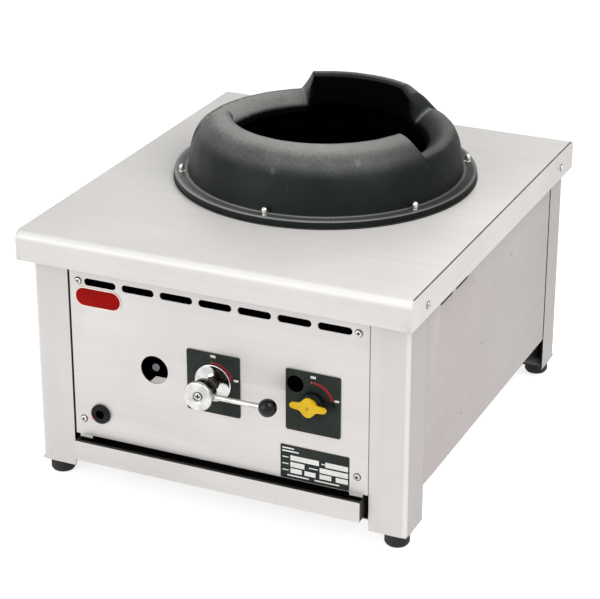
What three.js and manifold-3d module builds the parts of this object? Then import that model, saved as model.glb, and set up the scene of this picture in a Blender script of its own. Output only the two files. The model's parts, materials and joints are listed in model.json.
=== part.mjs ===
// A table-top gas wok range: stainless casing on four angle legs, cast-iron wok ring, one burner,
// a lever valve, a pilot valve, a push igniter and a drip tray.
// Millimetres, +Z up, the front faces -Y. The floor is z = 0.
import * as THREE from 'three';
import { mergeVertices } from 'three/addons/utils/BufferGeometryUtils.js';
import Module from 'manifold-3d';

const wasm = await Module();
wasm.setup();

// ---------------------------------------------------------------- driving dimensions
// worktop
const topWidth = 600;
const topDepth = 680;
const topHeight = 390;
const apronHeight = 43;
const apronReturn = 12;
const apronGap = 0.8; // between the rear return and the rear legs and panel
const frontEdgeRadius = 12;
const rearEdgeRadius = 4;
const sheet = 1.5;
const trimSheet = 1.5;
const trimScrewInset = 56;
const trimScrewHeight = 18;

// fits
const seat = 0.3; // gap between pieces that rest on each other
const slip = 0.4; // radial clearance round a shank, stem or pin

// legs and feet
const legInsetSide = 11;
const legInsetFront = 24;
const legInsetRear = 8;
const legFrontWidth = 57;
const legSideWidth = 60;
const legCornerRadius = 10;
const legFlange = 26;
const legBottom = 22;
const footPlate = 3;
const footRadius = 18;
const footInset = 22;
const footStudRadius = 4;
const footStudLength = 22;

// panels
const panelBottom = 77;
const panelHeadroom = 6; // below the worktop sheet
const panelReveal = 1.2; // open joint between a panel and a leg
const rearReveal = 4; // between a side panel and its rear leg
const panelReturn = 12;
const ventCount = 7;
const ventMargin = 26.8; // from the front panel's side to its first slot
const ventLength = 48;
const ventWidth = 9;
const ventDrop = 69; // below the worktop
const sideVentCount = 2; // only near the front
const sideVentFirst = 134; // its middle, behind the casing's front face
const sideVentDrop = 59;
const panelScrewInset = 16;
const panelScrewLow = 26;

// screws
const screwHeadRadius = 5;
const screwHeadHeight = 2.6;
const screwShankRadius = 2;
const screwReach = 9;

// wok ring
const ringCentreX = 4;
const ringCentreY = 52;
const ringFlangeRadius = 222;
const ringFlangeHeight = 8;
const ringThroat = 138;
const ringFrontHeight = 98;
const ringSideHeight = 72;
const ringLipHeight = 110;
const ringScrewRadius = 215.5;
const ringScrewCount = 6;
const ringColumns = 64;
// how the ring's section changes round it: degrees from +X, then its share of the front's section,
// of the lowered side's and of the high rear lip's
const ringStations = [
  [-16, 1, 0, 0], [-2, 0, 1, 0], [49, 0, 1, 0], [54, 0, 0.3, 0.7], [60, 0, 0, 1],
  [121, 0, 0, 1], [127, 0, 1, 0], [182, 0, 1, 0], [196, 1, 0, 0],
];
const ringScrewHead = 10; // the ring's bolts have tall domed heads

// fire bowl and burner
const bowlSheet = 1.5;
const bowlFlangeRadius = 228.4;
const bowlMouth = 178;
const bowlWaist = 150;
const bowlFloorRadius = 98;
const bowlFloorDrop = 145;
const bowlWaistDrop = 90;
const cutOutRadius = 183;
const burnerRadius = 70;
const burnerWall = 6;
const burnerTop = 262;
const burnerBottom = 176;
const burnerNeckRadius = 26;
const burnerNeckLength = 26;
const burnerFootRadius = 30;
const capThickness = 10;
const capPorts = 12;
const capPortRadius = 4;
const capPortCircle = 52;
const capCentreHole = 14;

// mixing tube and air shutter
const tubeRadius = 20;
const tubeWall = 3;
const tubeFront = 74; // from the casing's front face to the tube's mouth
const shutterWall = 2;
const shutterLength = 34;
const shutterWindow = 26;
const shutterWindowHeight = 14;
const shutterSetback = 8;
const shutterLug = 9;

// valves
const mainAxisX = -3.5;
const pilotAxisX = 148.5;
const valveAxisHeight = 204; // also the mixing tube's axis
const mainValveRadius = 20;
const mainValveLength = 44;
const pilotValveRadius = 13;
const pilotValveLength = 36;
const injectorRadius = 7;
const injectorNose = 4;
const spindleRadius = 5;
const spindleReach = 30; // how far a spindle reaches into its valve
const pilotSpindleReach = 24;
const spindleHole = 8;
const injectorCollar = 3;
const injectorTip = 12; // how far the injector's tip stands inside the mixing tube

// front controls
const dialWidth = 82;
const dialHeight = 93;
const dialThickness = 1.5;
const dialDrop = 1.5; // the plates' centres below the valve axes
const escutcheonRadius = 28;
const escutcheonThickness = 5;
const leverPlane = 41; // rod centre line, forward of the casing's front face
const leverReach = 102;
const leverRodRadius = 3.2;
const leverBallRadius = 13;
const leverNeckRadius = 7.5;
const leverCollarRadius = 15;
const leverCollarLength = 12;
const leverDiscRadius = 21.5;
const leverDiscThickness = 7;
const pilotBaseRadius = 17;
const pilotBaseThickness = 11;
const pilotPointerReach = 33;
const pilotPointerWidth = 11;
const wingReach = 30;
const wingHub = 15;
const wingThickness = 9;
const lightingHoleX = -97;
const lightingHoleRadius = 21.5;
const sightHoleX = 122;
const sightHoleHeight = 227.6;
const sightHoleRadius = 12.5;
const igniterInset = 44.3; // from the front panel's left side
const igniterRise = 39; // above the front panel's foot
const igniterRadius = 15;
const igniterBezelProud = 4;
const igniterBarrelRadius = 11;
const igniterBarrelLength = 44;
const igniterWall = 2.5;
const igniterButtonRadius = 6.5;
const igniterTravel = 4;
const badgeInset = 47.3; // from the front panel's left side
const badgeDrop = 23; // below the vents
const badgeWidth = 74;
const badgeDepth = 30;
const nameplateInset = 79.8; // from the front panel's right side
const nameplateRise = 27.5; // above the front panel's foot
const nameplateWidth = 104;
const nameplateDepth = 52;
const plateThickness = 1;

// drip tray and its rails
const trayFrontWidth = 450;
const trayFrontHeight = 31;
const trayFrontProud = 15;
const trayBottom = 40.3;
const trayWidth = 448;
const trayLength = 600;
const traySheet = 1;
const trayHem = 6;
const railWeb = 254;
const railLower = 212;
const railUpper = 238;
const railHeight = 34;
const bridgeWidth = 44;
const bridgeStrip = 3;
const bridgeHalfSpan = 246;

// gas pipework
const pipeRadius = 10.5;
const pipeRunX = -150;
const pipeHeight = 130;
const pipeProud = 41;
const pipeBore = 8.5;
const pipeBoreDepth = 18;
const pipeNutRadius = 17;
const pipeNutLength = 18;
const pipeBehindPanel = 34;
const feedRadius = 4;
const pilotTubeRadius = 3;
const pilotTipRadius = 5;
const pilotTipLength = 14;

// ---------------------------------------------------------------- places worked out from them
const casingFront = -topDepth / 2 + legInsetFront;
const casingRear = topDepth / 2 - legInsetRear;
const casingSide = topWidth / 2 - legInsetSide;
const topUnderside = topHeight - sheet;
const apronBottom = topHeight - apronHeight;
const panelTop = topUnderside - panelHeadroom;
const ventHeight = topHeight - ventDrop;
const frontPanelHalf = casingSide - legFrontWidth - panelReveal;
const ventPitch = (2 * (frontPanelHalf - ventMargin) - ventLength) / (ventCount - 1);
const igniterX = igniterInset - frontPanelHalf;
const igniterHeight = panelBottom + igniterRise;
const badgeX = badgeInset - frontPanelHalf;
const badgeHeight = ventHeight - badgeDrop;
const nameplateX = frontPanelHalf - nameplateInset;
const nameplateHeight = panelBottom + nameplateRise;
const sidePanelFrom = casingFront + legSideWidth + panelReveal;
const sidePanelTo = casingRear - legSideWidth - rearReveal;
const legTop = topUnderside - seat;
const rearReturn = legInsetRear - apronGap;
const flangeBottom = topHeight + seat;
const ringBottom = flangeBottom + bowlSheet + seat;
const burnerFloor = topHeight - bowlFloorDrop;
const trimScrewZ = apronBottom + trimScrewHeight;
const panelBack = casingFront + sheet;
const mouthY = casingFront + tubeFront;
const bridgeTop = burnerBottom - seat;
const railTop = trayBottom - seat + railHeight;
const reachFront = casingFront - Math.max(leverPlane + leverBallRadius,
  leverPlane + leverRodRadius + slip + leverDiscThickness);
const reachRear = casingRear + pipeProud;

// ---------------------------------------------------------------- materials
const finish = (color, roughness, metalness) =>
  new THREE.MeshStandardMaterial({ color, roughness, metalness });
const stainless = finish(0xcfccc8, 0.35, 0.9);
const zinc = finish(0x9d9f9f, 0.45, 0.8);
const chrome = finish(0xe6e6e4, 0.1, 1);
const castIron = finish(0x3a403e, 0.7, 0.4);
const brass = finish(0xb08d4a, 0.35, 0.9);
const copper = finish(0xb5704a, 0.35, 0.9);
const blackRubber = finish(0x141414, 0.85, 0);
const blackPlastic = finish(0x101211, 0.25, 0);
const yellowPlastic = finish(0xf0c419, 0.4, 0);
const dialPaint = finish(0x353a36, 0.5, 0);
const badgePaint = finish(0xc02a26, 0.35, 0);
const steelPipe = finish(0x6d6f6f, 0.5, 0.8);

const model = new THREE.Group();

// ---------------------------------------------------------------- solids
function signedVolume(geometry) {
  const p = geometry.attributes.position;
  const index = geometry.index.array;
  let sum = 0;
  const a = new THREE.Vector3();
  const b = new THREE.Vector3();
  const c = new THREE.Vector3();
  for (let i = 0; i < index.length; i += 3) {
    a.fromBufferAttribute(p, index[i]);
    b.fromBufferAttribute(p, index[i + 1]);
    c.fromBufferAttribute(p, index[i + 2]);
    sum += a.dot(b.cross(c));
  }
  return sum / 6;
}

// Merges the vertices and turns the faces outward.
function closed(geometry) {
  const bare = geometry.clone();
  for (const name of Object.keys(bare.attributes)) {
    if (name !== 'position') bare.deleteAttribute(name);
  }
  const merged = mergeVertices(bare, 1e-4);
  const index = merged.index.array;
  const kept = [];
  for (let i = 0; i < index.length; i += 3) {
    const [a, b, c] = [index[i], index[i + 1], index[i + 2]];
    if (a !== b && b !== c && c !== a) kept.push(a, b, c);
  }
  merged.setIndex(kept);
  if (signedVolume(merged) < 0) {
    const turned = [];
    for (let i = 0; i < kept.length; i += 3) turned.push(kept[i], kept[i + 2], kept[i + 1]);
    merged.setIndex(turned);
  }
  return merged;
}

function toSolid(geometry) {
  const g = closed(geometry);
  return new wasm.Manifold(new wasm.Mesh({
    numProp: 3,
    vertProperties: new Float32Array(g.attributes.position.array),
    triVerts: new Uint32Array(g.index.array),
  }));
}

function toGeometry(solid) {
  const mesh = solid.getMesh();
  const g = new THREE.BufferGeometry();
  g.setAttribute('position', new THREE.BufferAttribute(new Float32Array(mesh.vertProperties), 3));
  g.setIndex(new THREE.BufferAttribute(new Uint32Array(mesh.triVerts), 1));
  return g;
}

function join(first, ...others) {
  return toGeometry(others.reduce((sum, g) => sum.add(toSolid(g)), toSolid(first)));
}

function cut(first, ...tools) {
  return toGeometry(tools.reduce((left, g) => left.subtract(toSolid(g)), toSolid(first)));
}

// An upright block between two corners.
function block(x, y, z) {
  const g = new THREE.BoxGeometry(x[1] - x[0], y[1] - y[0], z[1] - z[0]);
  return g.translate((x[0] + x[1]) / 2, (y[0] + y[1]) / 2, (z[0] + z[1]) / 2);
}

// A cylinder along an axis, from one coordinate to another, centred on the other two.
function rod(axis, radius, from, to, centre, segments = 24, endRadius = radius) {
  const g = new THREE.CylinderGeometry(endRadius, radius, to - from, segments);
  const middle = (from + to) / 2;
  if (axis === 'x') return g.rotateZ(-Math.PI / 2).translate(middle, centre[0], centre[1]);
  if (axis === 'y') return g.translate(0, middle, 0).translate(centre[0], 0, centre[1]);
  return g.rotateX(Math.PI / 2).translate(centre[0], centre[1], middle);
}

// A profile of [radius, height] pairs turned about the Z axis; it closes on itself.
function turned(profile, segments) {
  const points = [...profile, profile[0]].map(([r, z]) => new THREE.Vector2(r, z));
  return new THREE.LatheGeometry(points, segments).rotateX(Math.PI / 2);
}

// A turned piece whose axis is stood along +Y, at x and z; heights in the profile become y.
function turnedAlongY(profile, segments, x, z) {
  const points = [...profile, profile[0]].map(([r, y]) => new THREE.Vector2(r, y));
  return new THREE.LatheGeometry(points, segments).translate(x, 0, z);
}

function outline(points) {
  return new THREE.Shape(points.map(([a, b]) => new THREE.Vector2(a, b)));
}

function extrude(shape, depth, curveSegments = 6) {
  return new THREE.ExtrudeGeometry(shape, { depth, bevelEnabled: false, curveSegments });
}

// An outline in X and Y, carried up from z0 to z1.
function extrudeUp(shape, z0, z1, curveSegments) {
  return extrude(shape, z1 - z0, curveSegments).translate(0, 0, z0);
}

// An outline in X and Z, carried back from y0 to y1.
function extrudeBack(shape, y0, y1, curveSegments) {
  return extrude(shape, y1 - y0, curveSegments).rotateX(Math.PI / 2).translate(0, y1, 0);
}

// An outline in Y and Z, carried across from x0 to x1.
function extrudeAcross(shape, x0, x1, curveSegments) {
  return extrude(shape, x1 - x0, curveSegments)
    .applyMatrix4(new THREE.Matrix4().makeBasis(
      new THREE.Vector3(0, 1, 0), new THREE.Vector3(0, 0, 1), new THREE.Vector3(1, 0, 0)))
    .translate(x0, 0, 0);
}

// A round pipe along points with rounded corners.
function pipe(points, radius, bend, sides = 10) {
  const path = new THREE.CurvePath();
  const v = points.map((p) => new THREE.Vector3(...p));
  let from = v[0];
  for (let i = 1; i < v.length - 1; i += 1) {
    const before = v[i].clone().add(v[i - 1].clone().sub(v[i]).setLength(bend));
    const after = v[i].clone().add(v[i + 1].clone().sub(v[i]).setLength(bend));
    path.add(new THREE.LineCurve3(from, before));
    path.add(new THREE.QuadraticBezierCurve3(before, v[i], after));
    from = after;
  }
  path.add(new THREE.LineCurve3(from, v[v.length - 1]));
  const section = outline(Array.from({ length: sides }, (_, i) => {
    const a = (i / sides) * 2 * Math.PI;
    return [radius * Math.cos(a), radius * Math.sin(a)];
  }));
  const steps = Math.ceil(path.getLength() / (radius * 3.5));
  return new THREE.ExtrudeGeometry(section, { steps: Math.min(steps, 60), extrudePath: path });
}

function place(name, geometry, material) {
  const g = closed(geometry);
  g.computeVertexNormals();
  const mesh = new THREE.Mesh(g, material);
  mesh.name = name;
  model.add(mesh);
}

// Both sides of a pair: side is -1 on the left and 1 on the right.
const sides = [['left', -1], ['right', 1]];
const ends = [['front', -1], ['rear', 1]];
const span = (a, b) => [Math.min(a, b), Math.max(a, b)];

// ---------------------------------------------------------------- screws
// A pan-head screw profile along its own axis: the head's underside is at 0, the shank below it.
function screwProfile(reach) {
  return [
    [0, -reach], [screwShankRadius, -reach + 1], [screwShankRadius, 0], [screwHeadRadius, 0],
    [screwHeadRadius, screwHeadHeight * 0.4], [screwHeadRadius * 0.7, screwHeadHeight * 0.9],
    [0, screwHeadHeight],
  ];
}

function screwInto(axis, sign, at, reach = screwReach, profile = screwProfile(reach)) {
  const points = profile.map(([r, h]) => new THREE.Vector2(r, h));
  const g = new THREE.LatheGeometry(points, 8);
  if (axis === 'x') g.rotateZ(-Math.PI / 2 * sign);
  if (axis === 'y' && sign < 0) g.rotateX(Math.PI);
  if (axis === 'z') g.rotateX(Math.PI / 2);
  return g.translate(...at);
}

// The ring's bolts: the same shank under a tall domed head.
function boltProfile(reach) {
  return [
    [0, -reach], [screwShankRadius, -reach + 1], [screwShankRadius, 0], [screwHeadRadius, 0],
    [screwHeadRadius, ringScrewHead * 0.6], [screwHeadRadius * 0.75, ringScrewHead * 0.9],
    [0, ringScrewHead],
  ];
}

const screwHole = screwShankRadius + slip;

// ---------------------------------------------------------------- worktop
// The folded sheet's section in Y and Z, from the front return round to the rear return.
function worktopSection(thickness) {
  const front = -topDepth / 2;
  const rear = topDepth / 2;
  const arc = (cy, cz, r, from, to, steps) => Array.from({ length: steps + 1 }, (_, i) => {
    const a = THREE.MathUtils.degToRad(from + ((to - from) * i) / steps);
    return [cy + r * Math.cos(a), cz + r * Math.sin(a)];
  });
  const outer = [
    [front + apronReturn, apronBottom],
    [front, apronBottom],
    ...arc(front + frontEdgeRadius, topHeight - frontEdgeRadius, frontEdgeRadius, 180, 90, 8),
    ...arc(rear - rearEdgeRadius, topHeight - rearEdgeRadius, rearEdgeRadius, 90, 0, 4),
    [rear, apronBottom],
    [rear - rearReturn, apronBottom],
  ];
  const inner = [
    [rear - rearReturn, apronBottom + thickness],
    [rear - thickness, apronBottom + thickness],
    ...arc(rear - rearEdgeRadius, topHeight - rearEdgeRadius, rearEdgeRadius - thickness, 0, 90, 4),
    ...arc(front + frontEdgeRadius, topHeight - frontEdgeRadius, frontEdgeRadius - thickness,
      90, 180, 8),
    [front + thickness, apronBottom + thickness],
    [front + apronReturn, apronBottom + thickness],
  ];
  return { outer, folded: [...outer, ...inner] };
}

function ringScrewPlaces() {
  return Array.from({ length: ringScrewCount }, (_, i) => {
    const a = THREE.MathUtils.degToRad(30 + (360 / ringScrewCount) * i);
    return [ringCentreX + ringScrewRadius * Math.cos(a), ringCentreY + ringScrewRadius * Math.sin(a)];
  });
}

function ringScrewHoles() {
  return ringScrewPlaces().map((at) =>
    rod('z', screwHole, topUnderside - 5, topHeight + ringFrontHeight, at, 8));
}

function makeWorktop() {
  const half = topWidth / 2 - trimSheet - seat;
  const folded = extrudeAcross(outline(worktopSection(sheet).folded), -half, half);
  const cutOut = rod('z', cutOutRadius, topUnderside - 5, topHeight + 5, [ringCentreX, ringCentreY], 64);
  place('worktop', cut(folded, cutOut, ...ringScrewHoles()), stainless);
}

function makeSideTrims() {
  for (const [side, sign] of sides) {
    const inside = topWidth / 2 - trimSheet;
    const [x0, x1] = span(sign * inside, (sign * topWidth) / 2);
    const plate = extrudeAcross(outline(worktopSection(sheet).outer.slice(1, -1)), x0, x1);
    const holes = ends.map(([, end]) =>
      rod('x', screwHole, x0 - 5, x1 + 5, [end * (topDepth / 2 - trimScrewInset), trimScrewZ], 10));
    place(`side_trim_${side}`, cut(plate, ...holes), stainless);
    for (const [end, endSign] of ends) {
      const at = [sign * (topWidth / 2 + seat), endSign * (topDepth / 2 - trimScrewInset), trimScrewZ];
      place(`trim_screw_${side}_${end}`,
        screwInto('x', sign, at, legInsetSide + screwReach / 2), zinc);
    }
  }
}

// ---------------------------------------------------------------- legs and feet
// An angle post for the front left, in distances inward from the casing's corner.
function legAngle() {
  const t = sheet;
  const r = legCornerRadius;
  const s = new THREE.Shape();
  s.moveTo(legFrontWidth, 0);
  s.lineTo(legFrontWidth, t);
  s.lineTo(r, t);
  s.absarc(r, r, r - t, -Math.PI / 2, -Math.PI, true);
  s.lineTo(t, legSideWidth);
  s.lineTo(0, legSideWidth);
  s.lineTo(0, r);
  s.absarc(r, r, r, -Math.PI, -Math.PI / 2, false);
  s.lineTo(legFrontWidth, 0);
  return s;
}

// The flanges that stand one sheet behind the legs' faces and carry the panels.
function legFlanges() {
  const t = sheet;
  const back = t + seat;
  const front = outline([
    [legFrontWidth - 2 * t, t - 0.1], [legFrontWidth, t - 0.1], [legFrontWidth, back],
    [legFrontWidth + legFlange, back], [legFrontWidth + legFlange, back + t],
    [legFrontWidth - 2 * t, back + t],
  ]);
  const side = outline([
    [t - 0.1, legSideWidth - 2 * t], [t - 0.1, legSideWidth], [back, legSideWidth],
    [back, legSideWidth + legFlange], [back + t, legSideWidth + legFlange],
    [back + t, legSideWidth - 2 * t],
  ]);
  return [front, side];
}

function panelScrewHeights() {
  return [panelBottom + panelScrewLow, ventHeight];
}

function makeLegs() {
  const flangeFrom = panelBottom + sheet + seat;
  const flangeTo = panelTop - sheet - seat;
  for (const [side, sx] of sides) {
    for (const [end, sy] of ends) {
      const corner = [casingSide * sx, sy < 0 ? casingFront : casingRear];
      // turns the front-left outline into this corner's
      const turn = (g) => closed(g.scale(-sx, -sy, 1)).translate(corner[0], corner[1], 0);
      const angle = extrudeUp(legAngle(), legBottom, legTop, 5);
      const plate = block([sheet / 2, legFrontWidth - 6], [sheet / 2, legSideWidth - 6],
        [legBottom, legBottom + footPlate]);
      const flanges = legFlanges().map((f) => extrudeUp(f, flangeFrom, flangeTo));
      const studHole = rod('z', footStudRadius + slip, legBottom - 5, legBottom + 10,
        [footInset, footInset], 10);
      const trimHole = rod('x', screwHole, -5, 10,
        [Math.abs(sy * (topDepth / 2 - trimScrewInset) - corner[1]), trimScrewZ], 10);
      const panelHoles = sy > 0 ? [] : panelScrewHeights().map((z) =>
        rod('y', screwHole, 0, 10, [legFrontWidth + panelReveal + panelScrewInset, z], 10));
      const leg = cut(join(angle, plate, ...flanges), studHole, trimHole, ...panelHoles);
      place(`leg_${side}_${end}`, turn(leg), stainless);

      const foot = turned([
        [0, 0], [footRadius - 3, 0], [footRadius, 3], [footRadius, legBottom - seat],
        [footStudRadius, legBottom - seat], [footStudRadius, legBottom + footStudLength],
        [0, legBottom + footStudLength],
      ], 16).translate(corner[0] - sx * footInset, corner[1] - sy * footInset, 0);
      place(`foot_${side}_${end}`, foot, blackRubber);
    }
  }
}

// ---------------------------------------------------------------- panels
// A flat sheet with a return at its top and bottom, in distances along it, behind its face and up.
function panelSheet(halfLength) {
  const face = block([-halfLength, halfLength], [0, sheet], [panelBottom, panelTop]);
  const returnHalf = halfLength - legFlange - seat;
  const low = block([-returnHalf, returnHalf], [0, panelReturn], [panelBottom, panelBottom + sheet]);
  const high = block([-returnHalf, returnHalf], [0, panelReturn], [panelTop - sheet, panelTop]);
  return join(face, low, high);
}

// Round-ended slots through a sheet, at places along it and at one height.
function ventSlots(places, height) {
  const slot = new THREE.Shape();
  const r = ventWidth / 2;
  const half = ventLength / 2 - r;
  slot.absarc(half, 0, r, -Math.PI / 2, Math.PI / 2, false);
  slot.absarc(-half, 0, r, Math.PI / 2, (3 * Math.PI) / 2, false);
  return places.map((x) => extrudeBack(slot, -5, 10, 3).translate(x, 0, height));
}

const ventRow = (count, first) => Array.from({ length: count }, (_, i) => first + i * ventPitch);
const frontVents = () => ventSlots(ventRow(ventCount, -ventPitch * (ventCount - 1) / 2), ventHeight);

function makeFrontPanel() {
  const through = (r, x, z, segments = 16) => rod('y', r, -5, 10, [x, z], segments);
  const holes = [
    through(spindleHole, mainAxisX, valveAxisHeight),
    through(spindleHole, pilotAxisX, valveAxisHeight),
    through(lightingHoleRadius, lightingHoleX, valveAxisHeight, 24),
    through(sightHoleRadius, sightHoleX, sightHoleHeight, 20),
    through(igniterBarrelRadius + slip, igniterX, igniterHeight),
  ];
  for (const [, sign] of sides) {
    for (const z of panelScrewHeights()) {
      holes.push(through(screwHole, sign * (frontPanelHalf - panelScrewInset), z, 10));
    }
  }
  const panel = cut(panelSheet(frontPanelHalf), ...frontVents(), ...holes);
  place('front_panel', panel.translate(0, casingFront, 0), stainless);
  const heights = [['low', panelScrewHeights()[0]], ['high', panelScrewHeights()[1]]];
  for (const [side, sign] of sides) {
    for (const [level, z] of heights) {
      const at = [sign * (frontPanelHalf - panelScrewInset), casingFront - seat, z];
      place(`panel_screw_${side}_${level}`, screwInto('y', -1, at), zinc);
    }
  }
}

function makeOtherPanels() {
  const half = (sidePanelTo - sidePanelFrom) / 2;
  const middle = (sidePanelTo + sidePanelFrom) / 2;
  for (const [side, sign] of sides) {
    const vents = ventRow(sideVentCount, casingFront + sideVentFirst)
      .map((y) => (y - middle) * sign);
    const panel = cut(panelSheet(half), ...ventSlots(vents, topHeight - sideVentDrop));
    place(`${side}_panel`,
      panel.rotateZ((sign * Math.PI) / 2).translate(sign * casingSide, middle, 0), stainless);
  }
  const inlet = rod('y', pipeRadius + 3, -5, 10, [-pipeRunX, pipeHeight], 24);
  place('rear_panel',
    cut(panelSheet(frontPanelHalf), ...frontVents(), inlet).rotateZ(Math.PI)
      .translate(0, casingRear, 0), stainless);
}

// ---------------------------------------------------------------- wok ring
// Each section starts at the flange's outer foot, goes up the outside, over the crest and down
// the throat, as [radius, height above the ring's seat]. All three have as many points. The points
// are written as shares of the flange's or the throat's radius and of the section's height.
function ringSections() {
  const f = ringFlangeHeight;
  const big = ringFlangeRadius;
  const h = ringFrontHeight;
  const s = ringSideHeight;
  const lip = ringLipHeight;
  const shares = (radius, height, points) => points.map(([r, z]) => [r * radius, z * height]);
  const foot = [[big, 0], [big, f - 1], [big - 1, f], [big - 2 * f, f]];
  const inside = shares(big, h, [[0.757, 0.633], [0.824, 0.449], [0.856, 0.245], [0.869, 0]]);
  return {
    front: [...foot,
      ...shares(big, h, [[0.914, 0.327], [0.892, 0.531], [0.842, 0.745], [0.779, 0.898],
        [0.725, 0.974], [0.676, 1]]),
      ...shares(ringThroat, h, [[1.043, 0.985], [1.007, 0.908], [1, 0.735]]), ...inside],
    side: [...foot,
      ...shares(big, s, [[0.914, 0.417], [0.896, 0.625], [0.874, 0.806], [0.847, 0.944], [0.82, 1],
        [0.788, 0.972], [0.739, 0.875]]),
      ...shares(ringThroat, s, [[1.116, 0.75], [1.087, 0.611], [1.217, 0.528]]), ...inside.slice(1)],
    lip: [...foot,
      ...shares(big, lip, [[0.914, 0.309], [0.887, 0.509], [0.842, 0.7], [0.784, 0.855],
        [0.73, 0.945], [0.689, 1]]),
      ...shares(ringThroat, lip, [[1.058, 0.995], [1.029, 0.955], [1.007, 0.545], [1.087, 0.564]]),
      ...shares(big, lip, [[0.716, 0.782], [0.82, 0.509]]), inside[3]],
  };
}

// How much of each section there is at an angle between -90 and 270 degrees.
function ringShares(angle) {
  const after = ringStations.findIndex(([a]) => a > angle);
  if (after < 1) return ringStations[0].slice(1);
  const [a0, ...from] = ringStations[after - 1];
  const [a1, ...to] = ringStations[after];
  return from.map((share, k) => THREE.MathUtils.mapLinear(angle, a0, a1, share, to[k]));
}

// The columns' angles: even steps, with extra ones where the section changes.
function ringAngles() {
  const even = Array.from({ length: ringColumns }, (_, i) => (360 / ringColumns) * i - 90);
  const extra = ringStations.map(([a]) => a);
  const near = (a) => extra.some((b) => Math.abs(a - b) < 1.2);
  return [...even.filter((a) => !near(a)), ...extra].sort((a, b) => a - b);
}

function makeWokRing() {
  const { front, side, lip } = ringSections();
  const sections = [front, side, lip];
  const angles = ringAngles();
  const rows = front.length;
  const positions = [];
  for (const angle of angles) {
    const shares = ringShares(angle);
    const a = THREE.MathUtils.degToRad(angle);
    for (let i = 0; i < rows; i += 1) {
      const [r, z] = [0, 1].map((k) =>
        shares.reduce((sum, share, n) => sum + share * sections[n][i][k], 0));
      positions.push(ringCentreX + r * Math.cos(a), ringCentreY + r * Math.sin(a), ringBottom + z);
    }
  }
  const index = [];
  for (let c = 0; c < angles.length; c += 1) {
    const next = (c + 1) % angles.length;
    for (let i = 0; i < rows; i += 1) {
      const j = (i + 1) % rows;
      const [p, q, u, v] = [c * rows + i, next * rows + i, next * rows + j, c * rows + j];
      index.push(p, q, u, p, u, v);
    }
  }
  const g = new THREE.BufferGeometry();
  g.setAttribute('position', new THREE.Float32BufferAttribute(positions, 3));
  g.setIndex(index);
  place('wok_ring', cut(g, ...ringScrewHoles()), castIron);
  ringScrewPlaces().forEach(([x, y], i) => {
    const at = [x, y, ringBottom + ringFlangeHeight + seat];
    const reach = ringFlangeHeight + screwReach;
    place(`ring_screw_${i + 1}`, screwInto('z', 1, at, reach, boltProfile(reach)), zinc);
  });
}

// ---------------------------------------------------------------- fire bowl and burner
function makeFireBowl() {
  const t = bowlSheet;
  const z = flangeBottom;
  const bowl = turned([
    [bowlFlangeRadius, z], [bowlFlangeRadius, z + t], [bowlMouth - t, z + t],
    [bowlWaist - t, topHeight - bowlWaistDrop], [bowlFloorRadius, burnerFloor + t],
    [bowlFloorRadius, burnerFloor], [bowlWaist, topHeight - bowlWaistDrop - t], [bowlMouth, z],
  ], 40).translate(ringCentreX, ringCentreY, 0);
  place('fire_bowl', cut(bowl, ...ringScrewHoles()), zinc);
}

function makeBurner() {
  const neckFrom = ringCentreY - burnerRadius - burnerNeckLength;
  const capSeat = burnerTop - capThickness;
  const shell = turned([
    [0, burnerBottom], [burnerFootRadius, burnerBottom], [burnerFootRadius, burnerBottom + 6],
    [burnerRadius - 8, burnerBottom + 14], [burnerRadius, burnerBottom + 26],
    [burnerRadius, capSeat - seat], [0, capSeat - seat],
  ], 32).translate(ringCentreX, ringCentreY, 0);
  const hollow = turned([
    [0, burnerBottom + burnerWall], [burnerFootRadius, burnerBottom + burnerWall + 2],
    [burnerRadius - burnerWall - 6, burnerBottom + 22], [burnerRadius - burnerWall, burnerBottom + 32],
    [burnerRadius - burnerWall, capSeat + 5], [0, capSeat + 5],
  ], 32).translate(ringCentreX, ringCentreY, 0);
  const at = [mainAxisX, valveAxisHeight];
  const neck = rod('y', burnerNeckRadius, neckFrom, ringCentreY - burnerRadius / 2, at, 24);
  const bore = rod('y', tubeRadius, neckFrom - 5, ringCentreY, at, 24);
  const body = cut(join(shell, neck), hollow, bore);
  place('burner_body', body, castIron);

  const ports = Array.from({ length: capPorts }, (_, i) => {
    const a = (i / capPorts) * 2 * Math.PI;
    const x = ringCentreX + capPortCircle * Math.cos(a);
    const y = ringCentreY + capPortCircle * Math.sin(a);
    return rod('z', capPortRadius, capSeat - 5, burnerTop + 5, [x, y], 6);
  });
  const cap = turned([
    [capCentreHole, capSeat], [burnerRadius, capSeat], [burnerRadius, capSeat + 4],
    [burnerRadius - 10, burnerTop - 1], [capCentreHole + 12, burnerTop], [capCentreHole, burnerTop - 3],
  ], 32).translate(ringCentreX, ringCentreY, 0);
  place('burner_cap', cut(cap, ...ports), castIron);
}

function makeBurnerBridge() {
  const t = bridgeStrip;
  const foot = railTop + seat;
  const w = bridgeHalfSpan;
  const strip = outline([
    [-w - 6, foot], [-w + 12, foot], [-w + 12, foot + t], [-w + t, foot + t], [-w + t, bridgeTop - t],
    [w - t, bridgeTop - t], [w - t, foot + t], [w - 12, foot + t], [w - 12, foot], [w + 6, foot],
    [w + 6, foot + t], [w, foot + t], [w, bridgeTop], [-w, bridgeTop], [-w, foot + t],
    [-w - 6, foot + t],
  ]);
  place('burner_bridge', extrudeBack(strip, ringCentreY - bridgeWidth / 2,
    ringCentreY + bridgeWidth / 2), zinc);
}

// ---------------------------------------------------------------- mixing tube and shutter
function tubeWindows(radius, turn = 0) {
  const from = mouthY + shutterSetback + 4;
  return [0, 1].map((k) => {
    const g = block([0, radius * 2], [from, from + shutterWindow],
      [-shutterWindowHeight / 2, shutterWindowHeight / 2]);
    return g.rotateY(k * Math.PI + turn).translate(mainAxisX, 0, valveAxisHeight);
  });
}

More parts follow.
